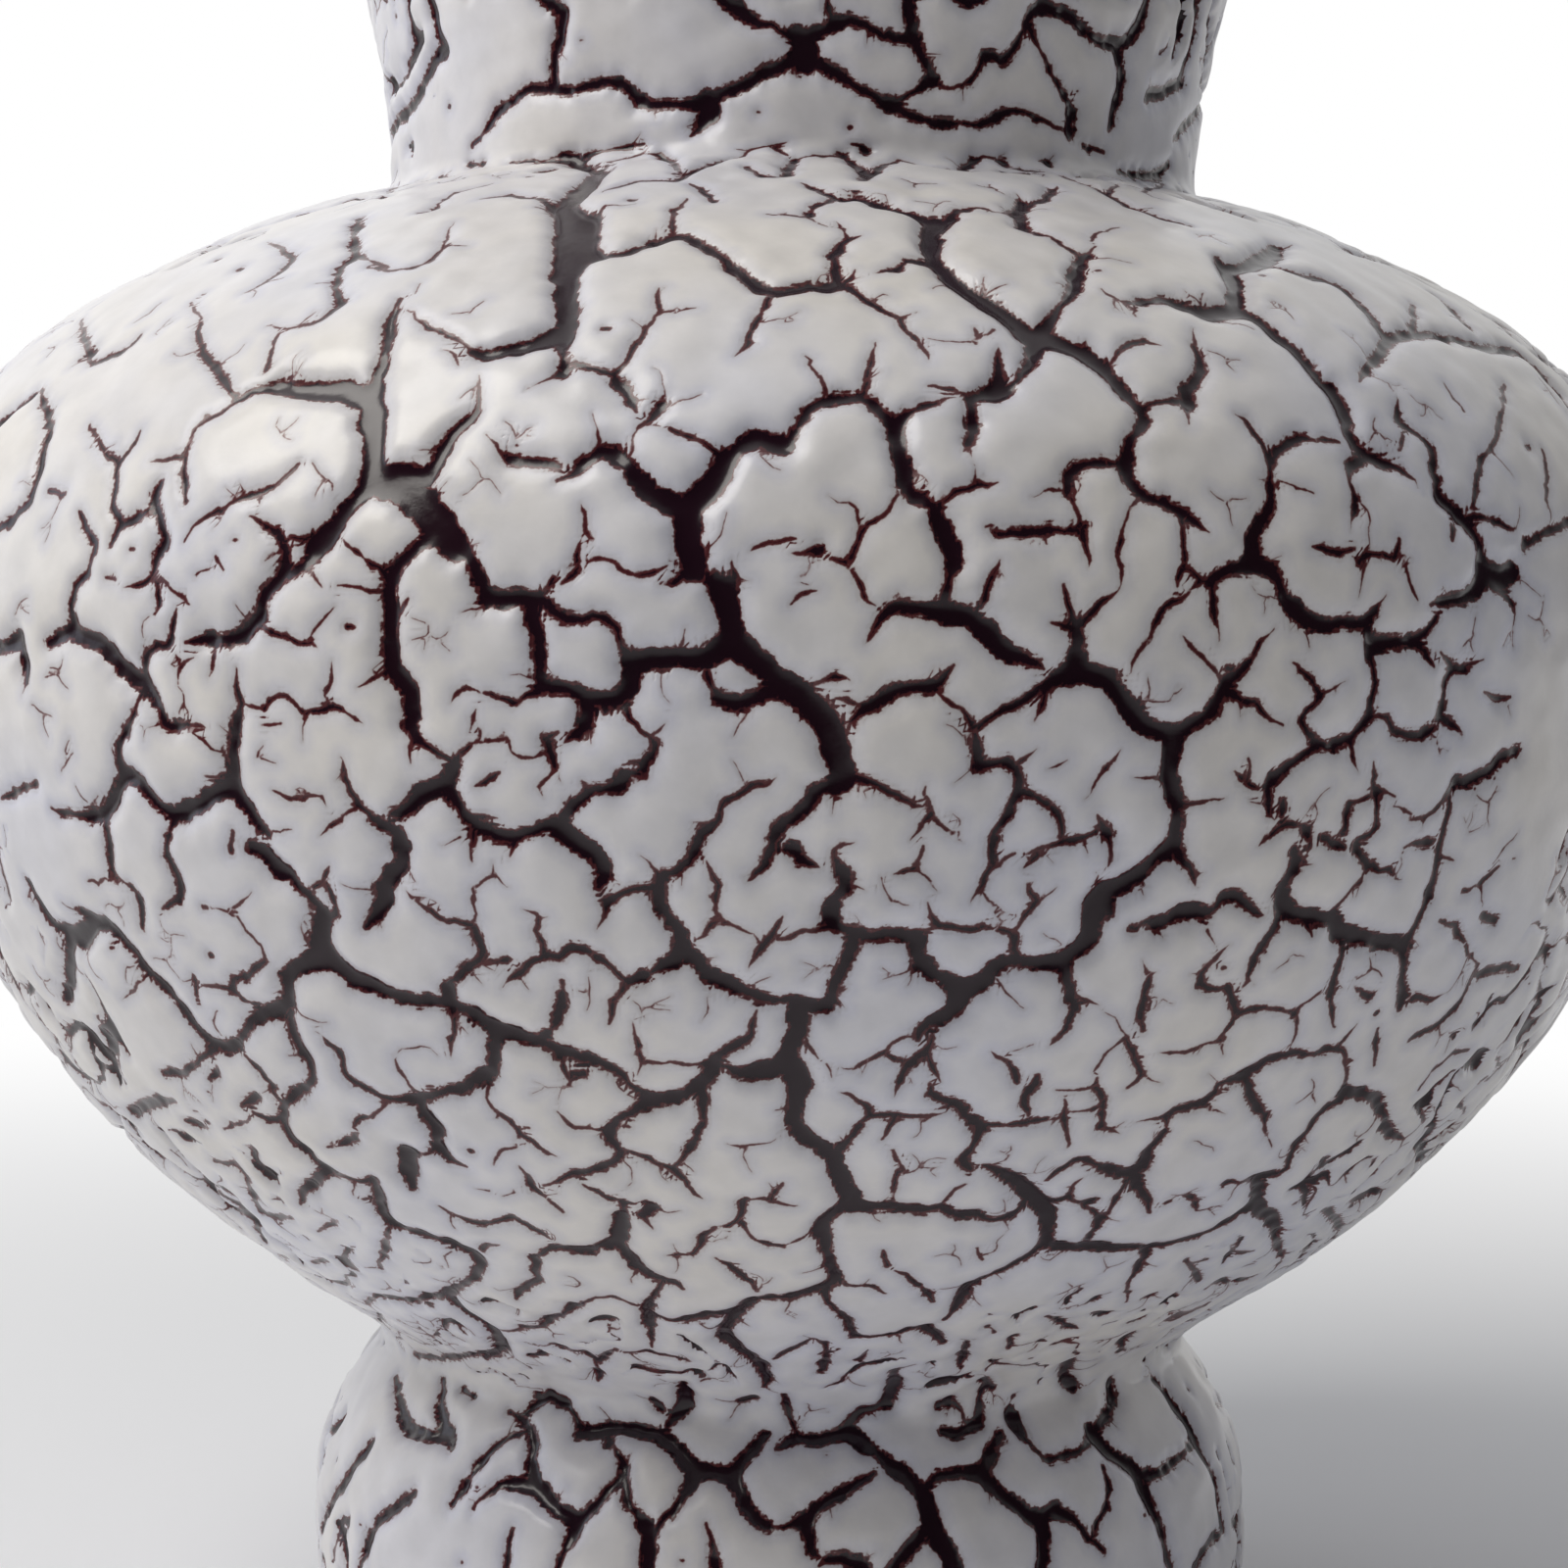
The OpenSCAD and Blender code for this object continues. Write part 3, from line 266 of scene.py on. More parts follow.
    "lower middle of the belly, on the left": """
    463,1020,12 460,1005,11 461,1000,9 470,995,8 478,985,9 490,978,8 496,970,9 493,955,8 488,942,8 470,935,6
    452,931,6 440,922,5 425,910,4 419,904,1; 488,942,3 491,930,3 489,912,4 487,900,3 500,892,4 510,888,4
    525,900,1; 508,888,4 508,875,1; 498,978,4 510,977,5 520,975,9 528,974,1; 465,1025,8 468,1045,7
    465,1072,2; 517,1002,1 525,993,6 538,985,8 548,975,8 560,970,9 575,972,8 580,965,9 592,963,9 605,967,8
    618,975,8 627,982,6 640,996,7; 558,970,8 556,955,7 553,940,6 553,930,5 538,922,1; 553,932,4 563,930,1;
    577,995,6 576,1010,10 573,1025,11 570,1040,9 563,1046,4; 560,1050,12 553,1056,10; 613,915,3 625,915,12
    635,908,8 650,903,8 665,903,9 675,905,13; 622,915,8 620,930,5 613,943,1; 655,868,1 667,880,4 673,888,6;
    697,965,18 712,978,16 722,992,16 738,1000,14 755,1006,14 775,1013,13 790,1016,10 805,1016,12 815,1022,20;
    712,955,2 722,945,5 732,937,6 742,937,6 755,942,4 772,948,1; 738,935,5 730,925,5 730,912,8 735,900,7
    728,888,6 722,875,2; 764,984,1 772,970,7 783,955,8 790,948,8 795,937,6 800,928,1; 790,953,5 805,953,5
    812,948,6 820,944,5 835,944,6 848,942,10; 723,1012,1 724,1025,3 717,1035,1; 648,1035,2 650,1050,5
    653,1065,5 657,1077,6 670,1078,5 685,1077,4 700,1080,5 715,1082,6 725,1084,12; 657,1078,4 652,1090,2;
    773,1025,3 768,1040,8 767,1052,8 755,1060,12 740,1068,10 730,1075,10 727,1085,18 722,1097,14 712,1105,14
    700,1113,12 685,1118,14 668,1120,18 650,1127,10 637,1133,10 628,1142,12 622,1152,13 630,1162,9 637,1170,9
    627,1180,10 615,1186,12 600,1190,9 588,1191,8 572,1197,7 558,1201,4; 732,1085,10 745,1085,8 758,1092,14
    775,1089,21 790,1088,24 803,1078,22; 714,1105,9 717,1125,8 718,1140,8 712,1155,8 705,1168,6 695,1178,6
    688,1187,10 695,1193,8 703,1203,6 710,1210,5 718,1214,2; 640,1167,5 655,1172,6 670,1180,6 688,1187,9;
    508,1055,14 508,1075,12 505,1090,13 495,1095,16 480,1103,12 462,1107,11 445,1112,9 430,1118,14
    438,1135,12 448,1148,14 450,1165,14 462,1177,9 480,1182,4; 450,1168,9 430,1172,5 418,1172,20 419,1190,22
    424,1205,10; 408,1070,2 412,1085,5 420,1095,3 430,1110,6; 500,1098,3 502,1115,4 512,1127,5 525,1137,6
    535,1150,7 550,1158,6 562,1167,6 573,1170,1; 532,1160,3 515,1165,4 508,1178,3; 572,1125,2 580,1135,5
    590,1143,4 605,1142,4 617,1147,7; 573,1075,10 578,1085,7 585,1097,5; 590,1090,9 598,1090,9; 743,1158,1
    755,1161,4 778,1158,3 793,1153,1""",
    "lower middle of the belly, on the right": """
    850,865,6 855,880,10 862,890,16 862,903,14 852,912,10 848,925,18 848,938,14 855,943,12 870,948,14
    885,952,12 900,950,14 915,950,14 930,955,16 935,968,16 940,980,18 950,990,16 962,995,14 975,1005,22
    985,1008,24; 862,905,5 870,900,4 882,903,1; 872,952,14 868,965,13 862,980,12 855,993,12 850,1005,12
    848,1018,14 835,1025,13 815,1025,18; 815,1022,20 813,1035,22 815,1050,18 808,1062,16 803,1078,22
    815,1100,26 812,1120,16 810,1135,16 815,1150,18 825,1160,18 842,1168,16 852,1178,16 855,1190,18
    860,1203,19 866,1215,22 867,1226,20; 820,1055,6 828,1065,5 835,1073,2; 843,1078,3 848,1092,2; 855,1172,12
    862,1162,10 870,1152,8 878,1142,6 885,1133,7 900,1131,8 912,1131,8 930,1132,6 945,1133,5 965,1128,1;
    912,1133,6 905,1145,6 897,1156,2; 885,1132,7 882,1120,7 873,1115,5 865,1108,5 856,1106,1; 908,1165,3
    912,1173,5 921,1187,5; 914,1188,5 912,1203,7 910,1220,6; 1038,975,10 1032,965,8 1030,950,7 1018,945,7
    1000,941,8 985,945,8 970,941,8 955,940,8 948,930,6 944,915,2; 1033,948,3 1038,938,5 1048,925,7 1053,913,8
    1047,905,6 1045,897,3; 950,943,4 935,945,4 925,948,5; 1085,985,12 1088,1000,10 1091,1015,9 1090,1030,9
    1085,1043,8 1075,1053,6 1066,1060,1; 1090,1010,5 1103,1015,6 1117,1018,1; 985,1008,24 975,1025,18
    965,1033,16 950,1040,14 938,1047,12 935,1056,6; 950,1053,6 943,1068,9 932,1077,9 922,1085,8 915,1100,6
    911,1111,1; 943,1070,6 948,1080,6 958,1098,2; 935,1052,3 920,1052,4 908,1058,4 903,1068,6 890,1073,6
    878,1078,6 870,1083,3 857,1080,1; 903,1070,5 915,1075,6 925,1080,6; 947,1100,5 948,1110,9 960,1117,8
    975,1120,10 983,1127,11 990,1138,10 1000,1145,11 995,1155,9 988,1167,9 980,1178,11 987,1185,10;
    984,1198,3 970,1208,5 961,1220,4; 1000,1143,7 1015,1140,7 1035,1138,7 1055,1136,7 1075,1134,5
    1082,1133,4; 1008,1065,1 1015,1072,5 1027,1077,6 1032,1085,8 1035,1098,6; 1028,1065,2 1050,1058,2;
    1053,1090,4 1055,1100,10 1043,1112,8 1042,1120,9 1046,1131,4; 1082,1113,3 1083,1130,7 1084,1145,5
    1085,1160,3; 1073,1104,2 1095,1104,4 1112,1103,4; 1085,1130,3 1100,1125,3 1118,1123,5; 1115,1092,4
    1115,1105,8 1122,1115,8 1121,1130,8 1120,1143,10 1130,1145,6 1138,1148,1; 1112,1085,3 1120,1075,3
    1127,1065,3 1137,1058,4 1145,1053,6 1150,1065,8 1155,1078,7 1162,1090,7 1155,1097,5 1145,1103,4;
    910,887,2 920,885,6 933,882,7 938,870,5 940,860,4; 935,885,3 948,895,3 955,905,1; 1012,880,5 1022,872,4
    1032,867,4; 1040,882,2 1050,875,5 1060,865,5; 1113,885,1 1115,898,4; 1125,920,14 1131,931,6; 1150,942,8
    1156,943,7""",
    "lower right of the belly": """
    1160,938,5 1175,940,14 1190,935,12 1202,930,16 1212,928,20 1225,930,14 1235,925,7 1245,912,9 1257,912,14
    1268,920,9 1278,928,8 1284,930,2; 1227,945,4 1234,960,1; 1315,865,10 1320,877,14 1313,888,10 1305,903,14
    1305,920,18 1315,930,16 1330,932,16 1345,935,14 1357,935,16 1362,950,20 1380,955,16 1400,958,16
    1415,960,16 1430,965,14; 1322,880,4 1334,878,1; 1305,905,7 1292,912,3; 1330,938,10 1332,950,4;
    1302,930,12 1295,945,10 1285,958,10 1277,970,8 1272,983,8 1268,995,4 1262,1003,3; 1465,872,5 1476,875,2;
    1427,970,10 1426,985,9 1425,1000,10 1427,1012,14 1422,1026,6; 1430,1013,8 1450,1015,7 1462,1009,2;
    1365,965,8 1360,980,9 1355,995,9 1352,1010,10 1354,1025,8 1355,1042,3; 1388,885,5 1375,900,5 1363,915,5
    1357,930,7; 1250,958,1 1240,967,5 1230,977,5 1222,988,7 1222,1000,9 1235,1005,7 1248,1003,9 1253,1015,8
    1257,1028,8 1270,1025,7 1285,1022,6 1300,1024,6 1315,1030,9 1320,1020,4 1332,1012,4 1342,1005,3;
    1222,990,4 1209,988,1; 1255,1030,6 1252,1040,5 1243,1050,5 1235,1058,4 1222,1060,4 1205,1067,5
    1190,1068,5 1178,1067,1; 1243,1052,4 1242,1069,2; 1318,1032,4 1315,1050,4 1310,1066,4; 1160,973,1
    1165,987,5 1167,1000,9 1163,1010,8 1161,1025,10 1162,1045,6; 1162,1090,3 1180,1098,1; 1153,1137,1
    1170,1134,4 1185,1133,8 1198,1126,10 1212,1123,12 1225,1120,11 1235,1110,9 1238,1100,8 1250,1097,10
    1265,1095,13 1275,1088,12 1285,1077,10 1300,1072,9 1315,1068,9 1335,1070,6 1350,1065,8 1362,1066,8
    1373,1076,3; 1230,1123,4 1244,1128,1; 1237,1098,3 1227,1087,1; 1268,1097,9 1270,1110,10 1277,1122,10
    1287,1133,10 1285,1145,5 1291,1162,2; 1187,1135,8 1185,1148,9 1177,1160,10 1168,1170,11 1167,1180,12
    1158,1190,14; 1362,1062,5 1370,1050,5 1378,1038,2; 1366,1070,4 1368,1085,5 1366,1100,6 1370,1112,11
    1385,1112,14 1398,1115,12 1405,1130,10 1412,1148,10 1425,1155,4; 1370,1114,9 1350,1125,9 1335,1138,9
    1325,1153,8 1314,1170,8 1308,1186,8 1298,1193,8 1282,1197,12 1270,1195,7 1257,1197,4 1245,1199,9;
    1375,1002,2 1385,1010,8 1393,1013,8 1400,1005,1; 1400,1045,4 1398,1060,7 1395,1080,4; 1460,935,4
    1478,940,8 1485,955,5 1490,970,4 1500,980,5 1490,1000,6 1480,1020,8 1460,1040,8 1430,1055,5; 1500,990,8
    1520,985,8 1540,983,8; 1485,905,6 1500,900,5 1520,880,4; 1440,1105,4 1455,1085,6 1475,1068,7 1490,1065,4;
    1505,930,9 1518,935,9""",
    "bottom of the belly, on the left": """
    384,1198,12 390,1215,13 392,1232,12 402,1243,11 420,1248,9 440,1254,10 460,1263,9 478,1270,9 489,1276,13
    493,1285,13 488,1295,11 475,1304,9 458,1315,12; 495,1268,7 501,1262,7 514,1260,2; 378,1322,5 390,1315,9
    405,1318,8 420,1322,9 440,1318,10 458,1315,12 470,1327,12 485,1338,13 500,1347,14 510,1358,16 516,1370,14
    500,1378,6; 452,1222,3 465,1230,5 480,1237,7 495,1241,8 510,1238,7 526,1234,8 540,1241,8 555,1250,8
    563,1255,4; 517,1211,2 529,1207,3; 489,1203,1 503,1206,3; 534,1180,3 540,1190,5 543,1200,9 547,1206,7
    558,1212,5 568,1220,6 577,1227,5; 597,1201,3 612,1208,7 626,1216,8 637,1221,9 638,1232,8 635,1243,14
    632,1255,18 632,1267,16; 637,1221,8 650,1221,4; 660,1220,7 670,1227,10 656,1234,10 668,1245,2; 547,1277,8
    558,1270,9 572,1266,10 588,1270,13 600,1270,13 612,1266,9 632,1266,16 642,1275,13 650,1287,15 662,1294,13
    675,1298,10 690,1301,9 698,1306,5; 547,1277,10 549,1288,8 552,1299,9 540,1305,8 532,1310,9 530,1316,4;
    677,1301,6 672,1309,6 665,1320,9 662,1335,12 664,1347,9 667,1358,6 667,1366,2; 516,1348,4 540,1347,7
    560,1343,6 567,1337,10 578,1332,6 591,1326,8 600,1320,4 612,1316,5 625,1315,5 640,1319,4 655,1326,4;
    668,1335,4 685,1339,6 702,1339,11 720,1336,12 738,1334,12 752,1335,16; 565,1364,5 577,1368,8 595,1370,5
    610,1380,7 613,1393,9 613,1400,4; 613,1382,8 622,1374,8 631,1367,5; 640,1371,5 660,1370,6 680,1373,6
    705,1378,4; 402,1245,5 399,1258,5 394,1272,7 393,1287,6; 699,1402,7 702,1428,12 690,1445,10; 430,1380,5
    455,1382,7 480,1376,7 505,1372,8; 553,1425,9 566,1420,12 575,1432,9; 480,1420,8 490,1428,8""",
    "bottom of the belly, on the right": """
    867,1226,20 885,1228,14 903,1226,13 920,1229,13 940,1230,13 958,1226,11 968,1231,10 980,1236,14
    995,1233,13 1008,1237,7 1022,1236,9 1035,1230,8 1043,1224,8; 866,1225,20 850,1233,14 840,1243,16
    837,1256,16 842,1270,12 846,1282,10 851,1293,12 852,1302,12 838,1308,12 822,1312,11 805,1317,11
    788,1316,10 770,1319,11 760,1327,13 752,1335,16 740,1350,12 740,1360,16 753,1370,11 768,1379,11
    779,1388,14 783,1398,12 780,1406,5; 841,1310,10 845,1322,8 855,1329,6 863,1337,8 867,1347,8 871,1356,10
    890,1354,6 910,1352,7 928,1346,7 942,1347,11 953,1353,11 961,1362,8; 962,1336,6 973,1328,10 982,1317,13
    987,1304,11 1000,1295,7 1015,1290,9 1030,1284,9 1045,1277,8 1058,1268,10 1066,1262,12 1068,1248,13
    1068,1236,16 1060,1225,20 1048,1213,20 1038,1203,16 1024,1195,13 1012,1186,9 1000,1180,4; 1066,1265,14
    1080,1268,12 1095,1268,12 1110,1268,16 1125,1269,16 1140,1268,12 1155,1267,11 1168,1268,11 1182,1264,8
    1195,1260,7 1207,1257,9 1220,1254,8 1235,1247,7 1250,1240,8 1262,1232,10 1275,1228,18; 1062,1222,12
    1075,1220,9 1087,1215,10 1100,1219,6 1113,1218,9; 1088,1213,5 1090,1203,5 1097,1195,4 1102,1192,1;
    1104,1222,8 1113,1229,8 1122,1237,11 1117,1246,8 1110,1252,6 1107,1262,8; 1122,1237,6 1130,1224,5
    1138,1212,6 1147,1201,6; 1063,1197,3 1076,1187,8 1090,1178,7 1104,1176,8 1121,1186,10 1137,1190,12
    1152,1194,14 1160,1207,10 1167,1217,9 1168,1228,5; 1152,1193,16 1163,1189,16 1168,1180,14 1170,1170,9;
    1281,1198,16 1281,1212,12 1278,1225,20 1284,1233,14 1297,1242,13 1299,1262,8 1300,1282,6; 1204,1211,5
    1212,1214,8 1216,1224,5; 1185,1218,6 1190,1216,5; 1166,1270,12 1165,1278,8 1157,1289,9 1147,1299,5
    1145,1318,4; 1205,1277,5 1213,1287,6 1219,1299,7; 1214,1280,4 1226,1277,6; 1108,1320,6 1114,1318,11;
    1166,1316,10 1171,1315,12; 1148,1340,6 1160,1337,11; 1150,1352,9 1143,1362,12 1138,1372,6; 1065,1333,5
    1076,1338,7 1086,1347,10 1096,1347,4; 1005,1343,6 1012,1350,5; 1029,1356,6 1027,1368,5; 984,1360,6
    982,1375,10 979,1387,6; 762,1216,6 775,1214,4 788,1218,5 800,1220,4 814,1221,2; 787,1216,5 793,1206,6
    799,1198,3; 762,1216,7 758,1228,8 752,1238,6 745,1242,7 730,1244,6 722,1250,7 716,1262,8 708,1271,7
    695,1271,6 682,1271,2; 758,1240,8 765,1250,3 772,1256,4 785,1261,8 799,1263,7 812,1257,5 826,1253,4
    833,1252,6; 731,1273,3 743,1281,7 755,1291,7 762,1298,7 773,1308,5; 900,1268,4 905,1283,7; 862,1303,7
    880,1302,4 892,1305,6 903,1309,2; 912,1287,3 924,1292,5 932,1301,7 944,1310,9 950,1318,5; 995,1264,4
    1000,1275,4; 832,1357,3 842,1364,7 843,1377,8 838,1392,9; 843,1374,6 856,1366,3; 790,1378,4 803,1371,7
    814,1366,6 828,1357,4; 918,1388,5 911,1393,10 912,1410,14 905,1425,14; 1090,1380,12 1083,1400,10
    1092,1415,10; 1000,1400,8 1010,1410,8; 955,1425,6 965,1430,8; 1390,1213,14 1375,1218,10 1405,1208,10;
    1345,1228,6 1360,1240,9 1365,1258,8; 1240,1300,9 1262,1300,9 1275,1295,8""",
    "crease under the neck": """
    578,163,8 590,166,12 598,178,14 612,180,14 602,192,20 588,205,24 578,215,28 588,232,40; 568,218,10
    556,212,8 540,210,6 522,208,6 510,211,5 492,215,2; 560,220,5 548,222,2; 430,228,4 445,224,5 455,214,5
    467,207,4 482,204,4 505,198,2; 602,245,10 605,235,6 612,225,5 619,220,4 635,221,2 650,219,1; 616,207,2
    630,201,5 650,195,5 670,194,6 690,195,6 698,190,7 708,184,6 725,178,7 745,174,6 757,172,5 766,162,3
    782,157,3 795,153,4 803,150,2; 665,165,3 675,165,7 684,173,8 691,181,6 696,187,4; 622,175,3 640,170,3
    660,164,3; 762,181,6 775,186,8 790,188,8 802,187,10 805,178,8 812,172,6 830,168,4 856,166,6; 788,155,5
    796,161,6 804,169,3; 705,198,4 716,201,6 724,208,8 730,216,5; 702,214,2 696,222,5 688,224,6 687,236,6
    688,247,5; 783,229,3 800,229,4 818,231,5 826,228,9 829,220,7 840,217,5 850,211,8; 600,163,7 630,157,5
    660,150,5; 855,162,5 860,165,9 868,172,8 878,178,12 885,183,16 879,194,7; 885,182,12 900,177,7 915,172,4
    930,176,4 948,180,4 965,182,6 980,182,10 986,174,9 991,168,10 1000,164,4 1012,168,5 1021,171,10;
    868,151,4 878,152,6 882,158,11; 1055,170,3 1065,171,11; 1025,178,3 1045,182,6 1065,185,7 1080,188,7
    1095,194,7 1110,200,7 1125,206,8 1140,214,8 1158,222,8 1175,228,8 1192,234,7 1210,240,6; 1128,207,6
    1137,200,4; 1163,207,6 1170,200,7 1180,192,4; 1135,180,6 1158,183,9 1176,181,10 1184,168,8; 528,175,5
    548,172,7 568,171,8 585,172,8; 485,172,7 500,173,7; 402,206,4 420,197,5 435,192,5; 455,187,6 468,191,4;
    818,197,3 830,201,8 845,207,9 860,211,10 876,210,13 890,214,12 903,219,14 918,223,12 932,225,11
    944,230,14 953,236,20; 953,238,22 964,231,14 975,223,8 990,221,6 1003,222,5 1012,226,3 1024,227,5;
    1028,225,8 1037,222,17 1041,213,12; 1042,217,6 1055,215,7 1066,212,8 1072,204,7 1077,201,2; 1039,225,12
    1042,236,11 1047,243,9; 826,232,5 835,239,3 844,243,2""",
    "neck": """
    555,-5,8 568,5,10 577,15,13 576,32,11 572,50,10 570,68,10 571,82,9 568,92,9; 490,150,5 497,142,6
    505,130,8 513,115,10 530,103,9 545,90,8 562,92,9 585,93,10 600,89,9 618,84,10 635,84,11 646,92,10
    653,104,10 668,108,9 685,107,9 700,107,9 715,106,14; 722,100,18 725,115,24 718,125,14 708,140,4;
    722,105,18 735,97,13 752,90,12 768,82,13 782,73,15 797,68,13 812,60,18 822,52,28; 728,-10,12 742,2,13
    755,12,14 768,20,13 780,26,8 795,31,6 812,40,12; 444,-5,10 449,15,10 454,35,11 459,50,13 450,60,11
    441,80,9 433,98,10 421,115,9 410,132,8 402,150,6; 812,32,14 820,45,26 822,62,28; 828,36,16 840,32,12
    852,24,12 865,19,11 880,24,9 895,34,8 912,40,9 928,39,14; 843,-10,8 845,10,8 850,22,9; 926,-10,16
    926,8,14 929,25,12 931,38,15 937,55,9 945,68,9 950,82,15 938,90,9 930,94,6 918,101,7 907,107,12; 948,82,8
    960,90,5; 976,126,6 995,128,6; 1043,22,8 1050,40,6 1058,55,5; 1066,127,5 1078,132,5 1088,136,8;
    1130,116,9 1124,134,5; 838,66,12 850,75,11 865,84,10 882,94,9 896,102,10 907,107,18 922,117,8 936,122,10
    952,128,9 966,127,12 978,126,5; 995,128,8 1008,123,9 1020,116,10 1035,114,7 1050,119,6 1066,127,5;
    970,-5,8 985,2,12 1000,-3,8; 1002,57,12 1020,62,11 1030,50,8 1037,36,7 1043,22,9 1050,11,12 1065,8,14
    1080,12,12 1093,22,10 1108,36,9 1122,43,10 1136,45,14 1150,40,13 1158,28,12 1163,12,10 1167,-8,10;
    1137,47,13 1138,62,12 1140,80,12 1137,98,12 1130,116,10; 1058,55,5 1066,73,6 1076,90,6 1086,106,8
    1090,118,13 1088,133,14 1086,142,6; 1000,60,8 992,75,6 978,88,5 960,90,4; 1098,150,6 1118,156,5;
    1215,-8,11 1214,15,12 1210,38,11 1205,55,8 1200,70,8 1199,85,10 1185,92,11 1168,96,12 1160,102,5;
    1188,142,5 1200,130,9 1213,116,9 1220,98,7""",
    "foot": """
    594,1466,12 605,1463,16 615,1462,16 635,1458,12 655,1462,14 675,1468,14 690,1480,14 700,1492,18
    712,1503,20 730,1503,14 748,1505,18 758,1492,12 770,1480,14 780,1466,12; 708,1505,16 703,1520,14
    694,1536,8 684,1546,7 672,1560,8 664,1572,12; 640,1530,8 652,1545,8 662,1560,12 664,1580,14 660,1606,14;
    748,1505,16 754,1520,14 761,1538,14 772,1552,12 785,1560,8 800,1560,6 815,1555,12 825,1550,14
    832,1540,10; 545,1500,14 548,1515,16 560,1530,16 575,1543,14 590,1552,18 585,1570,12 575,1590,8
    570,1605,6; 590,1552,14 605,1540,10 620,1527,10 632,1515,10 640,1505,8 634,1488,6 622,1470,7; 640,1505,7
    640,1530,8; 520,1515,10 535,1515,14 548,1515,16; 545,1500,14 548,1480,12 545,1460,8 535,1450,8
    525,1445,6; 510,1480,8 495,1495,10 480,1515,10 468,1535,8; 410,1410,6 415,1440,10 418,1455,14 430,1465,12
    445,1468,12 460,1465,18 455,1450,12 455,1430,8 458,1410,8; 460,1465,14 468,1482,6; 520,1515,9 505,1524,6
    490,1540,5; 722,1556,4 728,1578,7 732,1604,8; 530,1560,4 524,1580,6 521,1604,7; 510,1480,8 524,1470,6
    545,1462,7; 385,1475,10 372,1490,10 358,1510,10 345,1535,10 335,1560,8; 430,1525,8 410,1540,10
    392,1552,10 382,1570,10 375,1600,8; 825,1470,12 805,1473,12 795,1480,8; 825,1472,12 840,1470,14
    862,1462,16 880,1476,18 895,1485,8 912,1500,18 930,1515,16 943,1530,18 948,1550,20 955,1565,18
    965,1582,18 975,1606,18; 948,1560,16 930,1575,14 915,1592,12 905,1606,12; 862,1460,12 870,1445,10
    880,1435,8 905,1430,12 912,1410,14; 855,1590,10 875,1594,16 885,1606,12; 890,1506,6 862,1522,10
    845,1532,12 830,1540,12 822,1552,14 826,1570,12 830,1585,8 840,1592,7 855,1590,9; 940,1520,10 955,1508,10
    975,1504,12 995,1505,14 1005,1510,14; 1002,1500,12 1010,1480,12 1018,1465,8; 1000,1500,14 1008,1515,16
    1022,1528,14 1040,1540,14 1058,1550,18 1062,1570,14 1060,1606,12; 1058,1550,14 1075,1540,16 1090,1550,10
    1105,1570,8 1120,1582,6; 960,1463,10 980,1463,10 995,1455,14; 1028,1440,12 1034,1455,16 1040,1468,10
    1048,1480,6 1060,1492,6 1080,1490,8 1100,1480,6 1110,1465,10; 1108,1460,12 1118,1472,18 1130,1484,16
    1147,1495,16 1158,1505,16 1164,1520,16 1170,1540,12 1178,1560,10 1184,1585,8 1190,1606,8; 1158,1505,14
    1175,1505,10 1190,1495,10 1200,1488,6 1214,1470,8; 1170,1410,8 1185,1425,10 1198,1440,12 1208,1455,14
    1215,1470,14 1222,1490,8 1232,1510,8 1236,1540,7 1240,1560,8; 1128,1410,12 1131,1425,10 1128,1440,8
    1116,1458,10; 1120,1500,6 1126,1520,8 1122,1540,8 1112,1562,6; 1240,1410,8 1245,1430,10 1232,1440,4;
    698,1410,12 700,1430,14 690,1445,10 682,1457,6; 757,1424,10 770,1419,10; 800,1414,6 803,1430,8 808,1450,6
    815,1468,8; 668,1422,8 678,1435,8; 540,1444,6 560,1427,8 575,1425,10 590,1443,6 598,1460,8; 955,1431,10
    966,1422,10 978,1440,4 985,1455,6; 1001,1410,10 996,1430,8 997,1448,8; 1240,1560,6 1225,1575,8
    1210,1600,8""",
}


def linear(code: str) -> tuple[float, float, float, float]:
    """Turns an sRGB hex colour to linear light.

    Args:
        code: The colour, such as "#e6e3dc".

    Returns:
        Red, green, blue and an alpha of 1.
    """
    shares = [int(code[i : i + 2], 16) / 255 for i in (1, 3, 5)]
    light = [s / 12.92 if s <= 0.04045 else ((s + 0.055) / 1.055) ** 2.4 for s in shares]
    return (*light, 1.0)


def add_node(
    tree: bpy.types.NodeTree, kind: str, inputs: dict | None = None, stops: dict | None = None, **settings
) -> bpy.types.Node:
    """Adds one shader node.

    Args:
        tree: The material's or world's node tree.
        kind: Blender's name of the node type.
        inputs: Values for the node's inputs, or output sockets to link to them, by name or number.
        stops: For a colour ramp, hex colours by their place along it.
        **settings: Properties of the node.

    Returns:
        The new node.
    """
    node = tree.nodes.new(kind)
    for name, value in settings.items():
        setattr(node, name, value)
    for key, value in (inputs or {}).items():
        if isinstance(value, bpy.types.NodeSocket):
            tree.links.new(value, node.inputs[key])
        else:
            node.inputs[key].default_value = value
    if stops:
        elements = node.color_ramp.elements
        while len(elements) < len(stops):
            elements.new(0.5)
        for element, place in zip(elements, sorted(stops)):
            element.position = place
        for element, place in zip(elements, sorted(stops)):
            element.color = linear(stops[place])
    return node


def new_material(name: str) -> tuple[bpy.types.Material, bpy.types.NodeTree]:
    """Makes a material with an empty node tree.

    Args:
        name: The finish's plain name.

    Returns:
        The material and its tree.
    """
    material = bpy.data.materials.new(name)
    material.use_nodes = True
    material.node_tree.nodes.clear()
    return material, material.node_tree


def dress(piece: bpy.types.Object, material: bpy.types.Material) -> None:
    """Gives a piece its one material."""
    piece.data.materials.clear()
    piece.data.materials.append(material)


